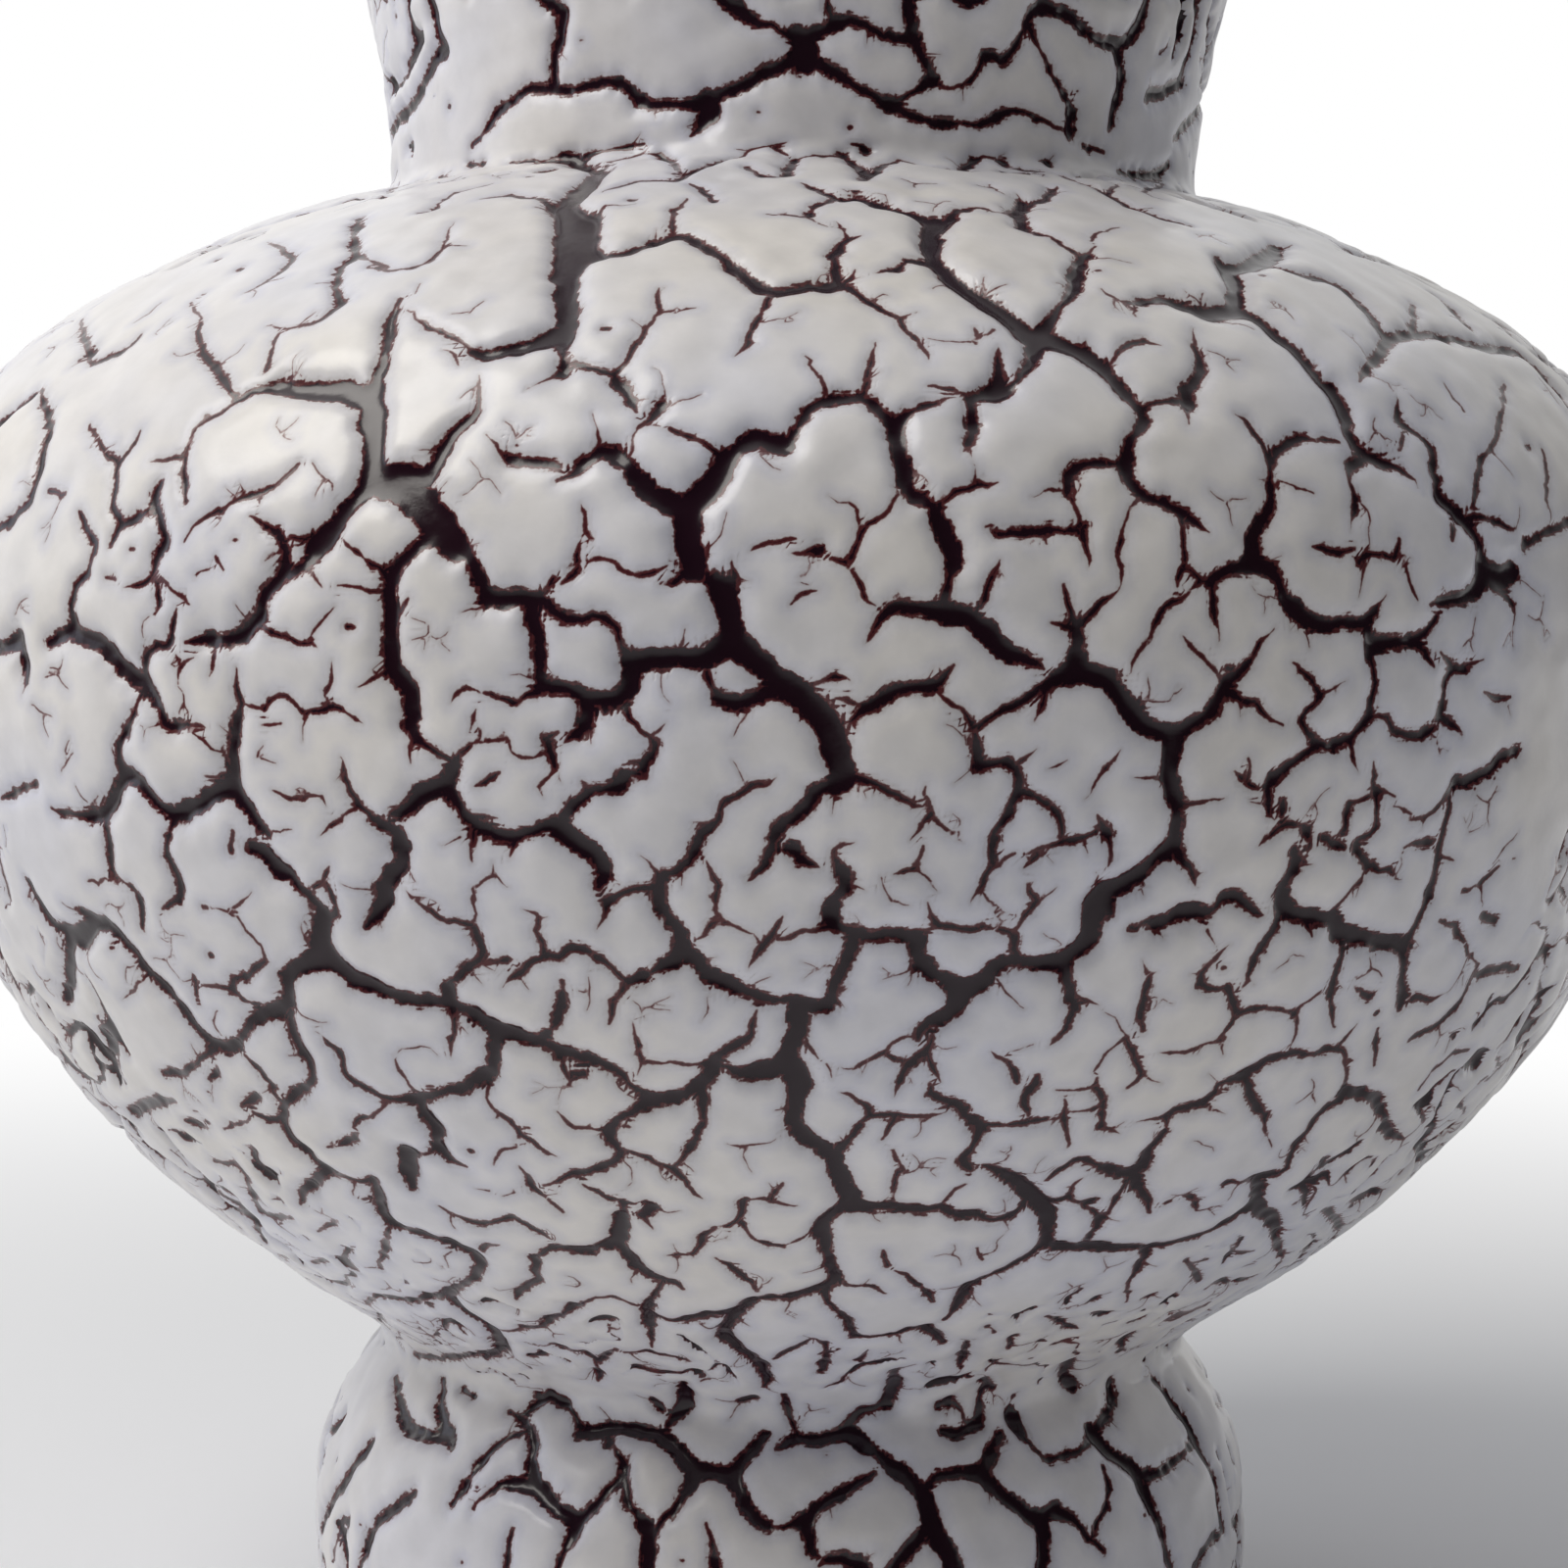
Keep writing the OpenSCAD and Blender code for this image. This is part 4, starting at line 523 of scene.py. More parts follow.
def ripple(places: np.ndarray, size: float, seed: int, waves: int = 14) -> np.ndarray:
    """A smooth random field in space, as a sum of waves in random directions.

    Args:
        places: Points, with x, y and z last.
        size: Wavelength in the points' unit.
        seed: Seed of the random directions.
        waves: Number of waves.

    Returns:
        Values about -1 to 1, one for each point.
    """
    draws = np.random.RandomState(seed)
    total = np.zeros(places.shape[:-1], np.float32)
    for _ in range(waves):
        way = draws.normal(size=3)
        way = way / np.linalg.norm(way) * 2 * math.pi / (size * draws.uniform(*WAVE_SPREAD))
        total += np.sin(places @ way.astype(np.float32) + np.float32(draws.uniform(0, 2 * math.pi)))
    return total * np.float32(math.sqrt(2 / waves) / WAVE_HEIGHT)


def ease(values: np.ndarray, low: float, high: float) -> np.ndarray:
    """A soft step that is 0 below low and 1 above high."""
    share = np.clip((values - low) / (high - low), 0, 1)
    return share * share * (3 - 2 * share)


def shuffled(first: np.ndarray, second: np.ndarray, seed: int) -> list[np.ndarray]:
    """Draws two numbers for each pair of names, the same wherever that pair comes up.

    Args:
        first: The lower name of each pair.
        second: The higher one.
        seed: Seed of the draws.

    Returns:
        Two arrays of draws from 0 to 1.
    """
    pair = first * PAIR_FACTORS[0] + second * PAIR_FACTORS[1] + seed
    mixes = (pair, pair * SECOND_DRAW[0] + SECOND_DRAW[1])
    return [np.modf(np.abs(np.sin(mix) * factor))[0] for mix, factor in zip(mixes, DRAW_FACTORS)]


@dataclass
class VaseOutline:
    """The outline of the ground glaze's outer face, drawn from the same sizes as the part's source."""

    foot_h: float = 21.0
    foot_d: float = 60.0
    foot_widest_h: float = 9.5
    waist_d: float = 51.6
    stand_d: float = 54.0
    wiped_h: float = 1.6
    belly_d: float = 110.0
    belly_h: float = 72.0
    belly_widest_h: float = 46.3
    belly_lean: float = 49.6
    shoulder_slope: float = 13.6
    wall: float = 5.0
    throat_d: float = 50.8
    neck_rise: float = 37.5
    rim_d: float = 76.0
    flare_power: float = 1.7
    lip_t: float = 3.2
    crease_r: float = 2.4
    ground_t: float = 0.4
    crawl_t: float = 0.9
    lip_wrap: float = 14.0
    foot_heading: float = 128.0
    stand_heading: float = 64.0
    foot_pulls: tuple[float, ...] = (0.45, 0.5, 0.5, 0.35)
    lower_pulls: tuple[float, ...] = (0.11, 0.66)
    upper_pulls: tuple[float, ...] = (0.57, 0.26)
    steps: int = 60

    def __post_init__(self) -> None:
        """Draws the outline and keeps its lengths, radii, heights and outward directions."""
        coat = self.ground_t + self.crawl_t
        waist_r, throat_r, belly_r, foot_r, rim_r = (
            d / 2 - coat for d in (self.waist_d, self.throat_d, self.belly_d, self.foot_d, self.rim_d)
        )
        neck_z = self.foot_h + self.belly_h
        widest_z = self.foot_h + self.belly_widest_h
        shoulder = 180 - self.shoulder_slope
        low_crease = np.array([waist_r + self.crease_r, self.foot_h])
        high_crease = np.array([throat_r + self.crease_r, neck_z])
        foot_top = low_crease + self.crease_r * self.aim(self.foot_heading + 90)
        belly_start = low_crease + self.crease_r * self.aim(self.belly_lean + 90)
        belly_end = high_crease + self.crease_r * self.aim(shoulder + 90)
        foot_side = np.array([foot_r, self.foot_widest_h])
        belly_side = np.array([belly_r, widest_z])
        low, high = self.foot_widest_h - self.wiped_h, foot_top[1] - self.foot_widest_h
        upper_h = self.belly_h - self.belly_widest_h
        shares = np.linspace(0, 1, self.steps + 1)
        neck = np.stack(
            [throat_r + (rim_r - throat_r) * shares**self.flare_power, neck_z + self.neck_rise * shares], 1
        )
        outside = np.concatenate(
            [
                self.curve(np.array([self.stand_d / 2, self.wiped_h]), self.stand_heading,
                           self.foot_pulls[0] * low, foot_side, 90, self.foot_pulls[1] * low),
                self.curve(foot_side, 90, self.foot_pulls[2] * high, foot_top, self.foot_heading,
                           self.foot_pulls[3] * high),
                self.arc(low_crease, self.crease_r, self.foot_heading + 90, self.belly_lean + 90),
                self.curve(belly_start, self.belly_lean, self.lower_pulls[0] * self.belly_widest_h,
                           belly_side, 90, self.lower_pulls[1] * self.belly_widest_h),
                self.curve(belly_side, 90, self.upper_pulls[0] * upper_h, belly_end, shoulder,
                           self.upper_pulls[1] * (belly_r - throat_r)),
                self.arc(high_crease, self.crease_r, shoulder + 90, 180),
                neck,
            ]
        )
        last = len(outside) - 1
        right = self.right_of(outside)
        turn = math.degrees(math.atan2(right[last][1], right[last][0]))
        lip = self.arc(outside[last] - self.lip_t / 2 * right[last], self.lip_t / 2, turn, turn + 180)
        thin = self.wall + (self.lip_t - self.wall) * (outside[:, 1] - neck_z) / self.neck_rise
        inside = (outside - thin[:, None] * right)[last - self.steps :][::-1]
        inside = inside[inside[:, 1] > inside[0][1] - self.lip_wrap]
        path = np.concatenate([outside[:last], lip, inside])
        face = path + self.ground_t * self.right_of(path)
        self.lengths = np.concatenate([[0], np.cumsum(np.linalg.norm(np.diff(face, axis=0), axis=1))])
        self.face = face
        self.out = self.right_of(face)
        # Each curve and arc has as many points as steps, which gives the middles of the creases
        self.waist_run = self.lengths[2 * self.steps + self.steps // 2]
        self.widest_run = self.lengths[4 * self.steps]
        self.shoulder_run = self.lengths[4 * self.steps + self.steps // 2]
        self.neck_run = self.lengths[last - self.steps]
        self.lip_run = self.lengths[last]
        self.inner_run = self.lengths[last + self.steps]

    @staticmethod
    def aim(heading: float) -> np.ndarray:
        """The unit vector of a heading in degrees from level."""
        return np.array([math.cos(math.radians(heading)), math.sin(math.radians(heading))])

    def curve(
        self, p: np.ndarray, heading: float, pull: float, q: np.ndarray, end_heading: float, end_pull: float
    ) -> np.ndarray:
        """A cubic between two points at given headings, without its last point.

        Args:
            p: First point.
            heading: Heading at the first point, in degrees.
            pull: How far the first point's heading is held.
            q: Last point.
            end_heading: Heading at the last point, in degrees.
            end_pull: How far the last point's heading is held.

        Returns:
            The points of the curve.
        """
        ahead, behind = p + pull * self.aim(heading), q - end_pull * self.aim(end_heading)
        t = np.linspace(0, 1, self.steps, endpoint=False)[:, None]
        u = 1 - t
        return u**3 * p + 3 * u * u * t * ahead + 3 * u * t * t * behind + t**3 * q

    def arc(self, centre: np.ndarray, r: float, start: float, end: float) -> np.ndarray:
        """An arc about a centre between two angles in degrees, without its last point.

        Args:
            centre: Centre of the arc.
            r: Radius.
            start: First angle.
            end: Last angle.

        Returns:
            The points of the arc.
        """
        turns = np.radians(np.linspace(start, end, self.steps, endpoint=False))
        return centre + r * np.stack([np.cos(turns), np.sin(turns)], 1)

    @staticmethod
    def right_of(path: np.ndarray) -> np.ndarray:
        """The directions to the right of a path, which are outwards where it climbs the outside.

        Args:
            path: Its points.

        Returns:
            A direction of length 1 for each point.
        """
        ahead = np.concatenate([path[1:], path[-1:]]) - np.concatenate([path[:1], path[:-1]])
        right = np.stack([ahead[:, 1], -ahead[:, 0]], 1)
        return right / np.linalg.norm(right, axis=1)[:, None]

    def at(self, runs: np.ndarray) -> tuple[np.ndarray, np.ndarray, np.ndarray, np.ndarray]:
        """Where the face is at given lengths along it.

        Args:
            runs: Lengths along the face.

        Returns:
            Radii, heights, and the outward and upward parts of the face's direction.
        """
        out = np.interp(runs, self.lengths, self.out[:, 0])
        up = np.interp(runs, self.lengths, self.out[:, 1])
        size = np.hypot(out, up)
        radii, heights = (np.interp(runs, self.lengths, self.face[:, i]) for i in (0, 1))
        return radii, heights, out / size, up / size


@dataclass
class PhotoCamera:
    """The photograph's viewpoint, fitted to the vase's outline and creases."""

    place: Place = (0.0, -210.7, 68.4)
    pitch_down: float = 3.509
    yaw: float = -0.0010
    roll: float = 0.0107
    focal_px: float = 3379.2
    sensor: float = 36.0
    nearest: float = 150.0
    farthest: float = 215.0
    depth_count: int = 1301
    clip: float = 10.0

    def axes(self) -> tuple[np.ndarray, np.ndarray, np.ndarray]:
        """The camera's directions.

        Returns:
            Right, up and forward, each of length 1.
        """
        pitch = math.radians(self.pitch_down)
        forward = np.array(
            [math.sin(self.yaw) * math.cos(pitch), math.cos(self.yaw) * math.cos(pitch), -math.sin(pitch)]
        )
        right = np.cross(forward, [0, 0, 1])
        right /= np.linalg.norm(right)
        up = np.cross(right, forward)
        turned_right = math.cos(self.roll) * right + math.sin(self.roll) * up
        turned_up = -math.sin(self.roll) * right + math.cos(self.roll) * up
        return turned_right, turned_up, forward

    def pixels_of(self, places: np.ndarray) -> tuple[np.ndarray, np.ndarray]:
        """Where points show in the photograph.

        Args:
            places: Points in millimetres, with x, y and z last.

        Returns:
            Their pixel columns and rows.
        """
        right, up, forward = self.axes()
        way = places - np.array(self.place)
        depth = way @ forward
        half = IMAGE_SIDE / 2
        return half + self.focal_px * (way @ right) / depth, half - self.focal_px * (way @ up) / depth

    def hits(self, pixels: np.ndarray, outline: VaseOutline) -> np.ndarray:
        """Finds the places on the vase that pixels of the photograph show.

        Args:
            pixels: Pixel columns and rows.
            outline: The vase's outline.

        Returns:
            For each pixel, its turn about the axis, its length along the face, the millimetres that one pixel
            covers there, and how far the sight line passes outside the vase.
        """
        right, up, forward = self.axes()
        half = IMAGE_SIDE / 2
        ways = (
            forward
            + (pixels[:, :1] - half) / self.focal_px * right
            - (pixels[:, 1:2] - half) / self.focal_px * up
        )
        depths = np.linspace(self.nearest, self.farthest, self.depth_count)
        climb = outline.lengths < outline.lip_run
        heights, radii = outline.face[climb, 1], outline.face[climb, 0]
        lengths = outline.lengths[climb]
        along = np.array(self.place) + depths[None, :, None] * ways[:, None, :]
        outside = np.hypot(along[..., 0], along[..., 1]) - np.interp(along[..., 2], heights, radii)
        first = np.where((outside < 0).any(1), np.argmax(outside < 0, 1), np.argmin(outside, 1))
        rows = np.arange(len(pixels))
        spot = along[rows, first]
        return np.stack(
            [
                np.arctan2(spot[:, 1], spot[:, 0]),
                np.interp(spot[:, 2], heights, lengths),
                depths[first] / self.focal_px,
                np.maximum(outside[rows, first], 0),
            ],
            1,
        )

    def build(self) -> None:
        """Makes the scene's camera."""
        right, up, forward = self.axes()
        camera = bpy.data.objects.new("photo_camera", bpy.data.cameras.new("photo_camera"))
        bpy.context.scene.collection.objects.link(camera)
        turn = Matrix((right, up, -forward)).transposed().to_4x4()
        camera.matrix_world = Matrix.Translation(Vector(self.place) * MM) @ turn
        camera.data.sensor_width = self.sensor
        camera.data.lens = self.focal_px / IMAGE_SIDE * self.sensor
        camera.data.clip_start = self.clip * MM
        bpy.context.scene.camera = camera


@dataclass(frozen=True)
class Net:
    """One net of cracks between random middles, as the glaze parts where no crack was traced.

    Attributes:
        cell: Mean size of the islands that it cuts.
        width: Mean width of its cracks.
        missing: Share of its cracks that stay closed.
        wander: How far its cracks stray from straight.
        seed: Seed of its draws.
        low: Lowest length along the face that it reaches.
        high: Highest length.
    """

    cell: float
    width: float
    missing: float
    wander: float
    seed: int
    low: float = -1.0
    high: float = 400.0


@dataclass
class CrackField:
    """The cracks over one stretch of the face, on a grid of lengths along it and turns about the axis.

    For each point of the grid it keeps the vector from the nearest crack's middle line, that crack's half
    width, the gap to the crack's edge, and how deep the glaze is notched there.
    """

    outline: VaseOutline
    runs: np.ndarray
    columns: int
    # How the glaze is drawn down beside a crack, and more so the wider the crack is
    reach: float = 1.7
    shoulder: float = 0.2
    puff: float = 0.45
    deep_half: float = 0.42
    least_depth: float = 0.12
    least_half: float = 0.02
    open_gap: float = 3.0
    no_gap: float = 9.0
    softenings: int = 2
    # How a net parts the glaze half way between middles, and what the widths of its cracks follow
    coarse_bend: float = 4.2
    fine_bend: float = 1.3
    fine_wander: float = 0.22
    row_share: float = 0.87
    jog: float = 0.36
    cell_reach: float = 1.75
    fewest: int = 5
    mean_share: float = 0.45
    luck_share: float = 1.1
    uneven_share: float = 0.5
    uneven_size: float = 3.4
    meeting_share: float = 0.5
    meeting_size: float = 0.8
    missing_cut: float = 1.1
    # How a net's last cracks close, and how ragged the glaze ends, as pairs of height and wavelength
    closing_cut: float = 3.0
    end_fade: float = 1.5
    ragged: tuple[Span, ...] = ((0.55, 5.0), (0.25, 1.4))
    # Hair cracks, with their forks, their roots in wider cracks, and their stars
    hair_half: Span = (0.045, 0.08)
    hair_step: Span = (0.22, 0.5)
    hair_steps: tuple[int, int] = (2, 7)
    hair_turn: float = 0.4
    hair_tip: float = 0.45
    hair_clear: float = 0.25
    fork_share: float = 0.14
    fork_turn: float = 0.9
    root_gap: Span = (0.5, 1.5)
    root_sink: float = 0.05
    root_turn: float = 0.7
    star_share: float = 0.3
    star_gap: float = 0.9
    star_arms: tuple[int, int] = (2, 4)
    star_turn: float = 2.1
    star_steps: int = 3
    # Pinholes, each as long as this on a face of this radius
    pin_length: Span = (0.05, 0.2)
    pin_radius: float = 30.0
    # Thickness of the glaze, whole and in the cracks, and its unevenness, as pairs of height and wavelength
    thick: float = 0.66
    thin: float = 0.05
    uneven: tuple[Span, ...] = ((0.08, 9.0), (0.035, 2.6))

    def __post_init__(self) -> None:
        """Lays out an uncracked grid."""
        self.step = 2 * math.pi / self.columns
        self.turns = np.arange(self.columns) * self.step
        self.radii, heights, out, up = self.outline.at(self.runs)
        self.rings = np.stack([self.radii, heights, out, up], 1)
        shape = (len(self.runs), self.columns)
        self.places = self.place(np.zeros(shape, np.float32))
        self.across, self.along, self.half, self.notch = (np.zeros(shape, np.float32) for _ in range(4))
        self.gap, self.beyond = (np.full(shape, self.open_gap, np.float32) for _ in range(2))

    def place(self, lift: np.ndarray) -> np.ndarray:
        """Points that stand off the face.

        Args:
            lift: How far they stand off it, in millimetres, on the grid.

        Returns:
            The points, with x, y and z last.
        """
        radii = self.rings[:, :1] + lift * self.rings[:, 2:3]
        heights = self.rings[:, 1:2] + lift * self.rings[:, 3:4]
        points = [radii * np.cos(self.turns), radii * np.sin(self.turns), heights + 0 * radii]
        return np.stack(points, -1).astype(np.float32)

    def window(self, turn: float, span: float, first: int, last: int) -> tuple[np.ndarray, tuple]:
        """Cuts a window out of the grid.

        Args:
            turn: Turn of its middle.
            span: How far it reaches to each side, as a turn.
            first: Its first row.
            last: The row after its last.

        Returns:
            The turns of its columns, and its index.
        """
        start, end = math.floor((turn - span) / self.step), math.ceil((turn + span) / self.step)
        cells = np.arange(start, min(end + 1, start + self.columns))
        return cells * self.step, np.ix_(np.arange(first, last), cells % self.columns)

    def merge(self, window: tuple, x: np.ndarray, y: np.ndarray, half: np.ndarray) -> None:
        """Takes in one crack over a window of the grid.

        Args:
            window: Index of the window.
            x: Distance from the crack's middle line across the axis.
            y: Distance from it along the face.
            half: The crack's half width, and no crack where it is under the least one.
        """
        far = np.hypot(x, y)
        cracked = half > self.least_half
        gap = np.where(cracked, far - half, self.no_gap)
        nearer = gap < self.gap[window]
        for kept, new in (
            (self.across, x), (self.along, y), (self.half, half), (self.gap, gap), (self.beyond, far)
        ):
            kept[window] = np.where(nearer, new, kept[window])
        depth = np.clip(half / self.deep_half, self.least_depth, 1.0)
        out = np.maximum(gap, 0)
        puff = self.puff * depth * np.clip(1 - out / self.reach, 0, 1) ** 2
        fall = (1 - self.puff * depth) * np.exp(-out / self.shoulder) + puff
        self.notch[window] = np.maximum(self.notch[window], np.where(cracked, depth * fall, 0))

    def stamp(self, path: np.ndarray) -> None:
        """Draws a crack, stretch by stretch.

        Args:
            path: Rows of turn, length along the face and half width.
        """
        for a, b in zip(path, path[1:]):
            reach = self.reach + max(a[2], b[2])
            first, last = np.searchsorted(self.runs, [min(a[1], b[1]) - reach, max(a[1], b[1]) + reach])
            if first >= last:
                continue
            r = float(np.interp((a[1] + b[1]) / 2, self.runs, self.radii))
            middle = (a[0] + b[0]) / 2
            turns, window = self.window(middle, abs(a[0] - b[0]) / 2 + reach / r, first, last)
            x = ((turns - middle) * r)[None, :] - (a[0] - middle) * r
            y = (self.runs[first:last] - a[1])[:, None]
            way = np.array([(b[0] - a[0]) * r, b[1] - a[1]])
            share = np.clip((x * way[0] + y * way[1]) / max(float(way @ way), SHORT**2), 0, 1)
            self.merge(window, x - share * way[0], y - share * way[1], a[2] + share * (b[2] - a[2]))

    def middles(self, net: Net) -> Iterator[tuple[float, float]]:
        """Draws the middles of a net's islands, in jogged rows.

        Args:
            net: The net.

        Yields:
            The turn and the length along the face of each.
        """
        draws = np.random.RandomState(net.seed)
        low, high = max(self.runs[0], net.low) - net.cell, min(self.runs[-1], net.high) + net.cell
        rows = max(1, round((high - low) / (net.cell * self.row_share)))
        rise = (high - low) / rows
        for row in range(rows):
            run = low + (row + 0.5) * rise
            r = float(np.interp(run, self.runs, self.radii))
            count = max(self.fewest, round(2 * math.pi * r / net.cell))
            for i in range(count):
                turn = 2 * math.pi / count * (i + row / 2 + draws.uniform(-self.jog, self.jog))
                yield turn, run + rise * draws.uniform(-self.jog, self.jog)

    def grow(self, net: Net, quiet: np.ndarray) -> None:
        """Grows a net of cracks, half way between each point's two nearest middles.

        Args:
            net: The net.
            quiet: How much each point of the grid is kept free of it, from 0 to 1.
        """
        near = [ripple(self.places, self.coarse_bend, net.seed + i) for i in (1, 2)]
        fine = [ripple(self.places, self.fine_bend, net.seed + i) for i in (3, 4)]
        bend_x, bend_y = (net.wander * n + self.fine_wander * f for n, f in zip(near, fine))
        shape = self.gap.shape
        squares, names, xs, ys = (
            [np.full(shape, blank, kind) for _ in range(2)]
            for blank, kind in ((FAR**2, np.float32), (0, np.int32), (0, np.float32), (0, np.float32))
        )
        third = squares[0].copy()
        reach = self.cell_reach * net.cell
        for name, (turn, seat) in enumerate(self.middles(net), 1):
            first, last = np.searchsorted(self.runs, [seat - reach, seat + reach])
            if first >= last:
                continue
            radii = self.radii[first:last]
            turns, window = self.window(turn, reach / radii.min(), first, last)
            x = (turns - turn)[None, :] * radii[:, None] + bend_x[window]
            y = (self.runs[first:last] - seat)[:, None] + bend_y[window]
            square = (x * x + y * y).astype(np.float32)
            wins, is_second = square < squares[0][window], square < squares[1][window]
            third[window] = np.minimum(third[window], np.maximum(square, squares[1][window]))
            for (best, second), value in ((squares, square), (names, name), (xs, x), (ys, y)):
                old = best[window]
                second[window] = np.where(wins, old, np.where(is_second, value, second[window]))
                best[window] = np.where(wins, value, old)
        apart_x, apart_y = xs[0] - xs[1], ys[0] - ys[1]
        apart = np.maximum(np.hypot(apart_x, apart_y), SHORT)
        far = (squares[1] - squares[0]) / (2 * apart)
        luck, chance = shuffled(np.minimum(*names), np.maximum(*names), net.seed)
        meeting = np.exp(-(np.sqrt(third) - np.sqrt(squares[0])) / self.meeting_size)
        uneven = ripple(self.places, self.uneven_size, net.seed + 5)
        share = (
            self.mean_share + self.luck_share * luck + self.uneven_share * uneven
            + self.meeting_share * meeting
        )
        missing = np.where(chance < net.missing, net.width * self.missing_cut, 0)
        half = net.width / 2 * share - missing - quiet * self.closing_cut * net.width
        starts = ease(self.runs, net.low - self.end_fade, net.low + self.end_fade)
        ends = ease(self.runs, net.high - self.end_fade, net.high + self.end_fade)
        edge = starts * (1 - ends)
        half = half - (1 - edge[:, None]) * self.closing_cut * net.width
        self.merge(EVERYWHERE, -apart_x / apart * far, -apart_y / apart * far, half)

    def end_at(self, run: float, half: float, seed: int) -> None:
        """Lets the white glaze stop short of a ring, with a ragged edge.

        Args:
            run: Length along the face where the ring is.
            half: Mean width of the bare band beside it.
            seed: Seed of the raggedness.
        """
        coarse, fine = (
            share * ripple(self.places, size, seed + i) for i, (share, size) in enumerate(self.ragged)
        )
        y = np.broadcast_to((self.runs - run)[:, None], self.gap.shape)
        self.merge(EVERYWHERE, 0 * y, y, half * (1 + coarse + fine))

    def walk(
        self, spot: np.ndarray, heading: float, steps: int, draws: np.random.RandomState
    ) -> list[np.ndarray]:
        """Follows a hair crack over an island until it tapers out or comes near another crack.

        Args:
            spot: Turn, length along the face and half width where it starts.
            heading: Its direction there.
            steps: How many short stretches it may have.
            draws: Source of its course.

        Returns:
            The hair and its forks, each as rows like spot.
        """
        r = float(np.interp(spot[1], self.runs, self.radii))
        rows, forks = [spot], []
        for left in range(steps, 0, -1):
            heading += draws.normal() * self.hair_turn
            way = draws.uniform(*self.hair_step) * np.array([math.cos(heading) / r, math.sin(heading)])
            taper = self.hair_tip + (1 - self.hair_tip) * left / (steps + 1)
            spot = np.array([*(rows[-1][:2] + way), rows[0][2] * taper])
            row = int(np.clip(np.searchsorted(self.runs, spot[1]), 0, len(self.runs) - 1))
            gap = self.gap[row, int(spot[0] / self.step) % self.columns]
            if len(rows) > 1 and gap < self.hair_clear:
                break
            rows.append(spot)
            if left > 2 and draws.uniform() < self.fork_share:
                aside = draws.choice([-1, 1]) * self.fork_turn
                forks += self.walk(spot, heading + aside, left // 2 + 1, draws)
        return [np.array(rows), *forks]

    def sprout(self, tries: int, low: float, high: float, seed: int) -> None:
        """Sends hair cracks out of the cracks, and small stars of them into the islands' middles.

        Args:
            tries: How many are tried.
            low: Lowest length along the face where one starts.
            high: Highest length.
            seed: Seed of their places.
        """
        draws = np.random.RandomState(seed)
        for _ in range(tries):
            turn, run = draws.uniform(0, 2 * math.pi), draws.uniform(low, high)
            half, steps = draws.uniform(*self.hair_half), draws.randint(*self.hair_steps)
            row, column = int(np.searchsorted(self.runs, run)), int(turn / self.step) % self.columns
            gap, r = self.gap[row, column], self.radii[row]
            out = np.array([self.across[row, column], self.along[row, column]])
            out = out / max(float(np.linalg.norm(out)), SHORT)
            heading = math.atan2(out[1], out[0])
            spot = np.array([turn, run, half])
            hairs = []
            if gap > self.star_gap and draws.uniform() < self.star_share:
                for arm in range(draws.randint(*self.star_arms)):
                    hairs += self.walk(spot, heading + self.star_turn * arm, self.star_steps, draws)
            elif self.root_gap[0] < gap < self.root_gap[1] and self.half[row, column] > self.hair_half[1]:
                root = spot - [*(out * (gap + self.root_sink) / [r, 1]), 0]
                heading += draws.uniform(-self.root_turn, self.root_turn)
                hairs = self.walk(root, heading, steps, draws)
            for hair in hairs:
                self.stamp(hair)

    def prick(self, count: int, low: float, high: float, seed: int) -> None:
        """Scatters pinholes over the glaze.

        Args:
            count: How many.
            low: Smallest radius.
            high: Largest radius.
            seed: Seed of their places.
        """
        draws = np.random.RandomState(seed)
        for _ in range(count):
            spot = [draws.uniform(0, 2 * math.pi), draws.uniform(self.runs[0], self.runs[-1])]
            far = draws.uniform(*self.pin_length) / self.pin_radius
            radius = draws.uniform(low, high)
            self.stamp(np.array([[*spot, radius], [spot[0] + far, spot[1] + far, radius]]))

    def lift(self, seed: int) -> np.ndarray:
        """How far the glaze stands off the ground glaze's face.

        Args:
            seed: Seed of its unevenness.

        Returns:
            Heights in millimetres, on the grid.
        """
        coarse, fine = (
            height * ripple(self.places, size, seed + i) for i, (height, size) in enumerate(self.uneven)
        )
        thick = self.thick + coarse + fine
        notch = self.notch
        for _ in range(self.softenings):
            notch = (np.roll(notch, 1, 1) + 2 * notch + np.roll(notch, -1, 1)) / 4
            wide = np.pad(notch, ((1, 1), (0, 0)), mode="edge")
            notch = (wide[:-2] + 2 * notch + wide[2:]) / 4
        return self.thin + (thick - self.thin) * (1 - notch)


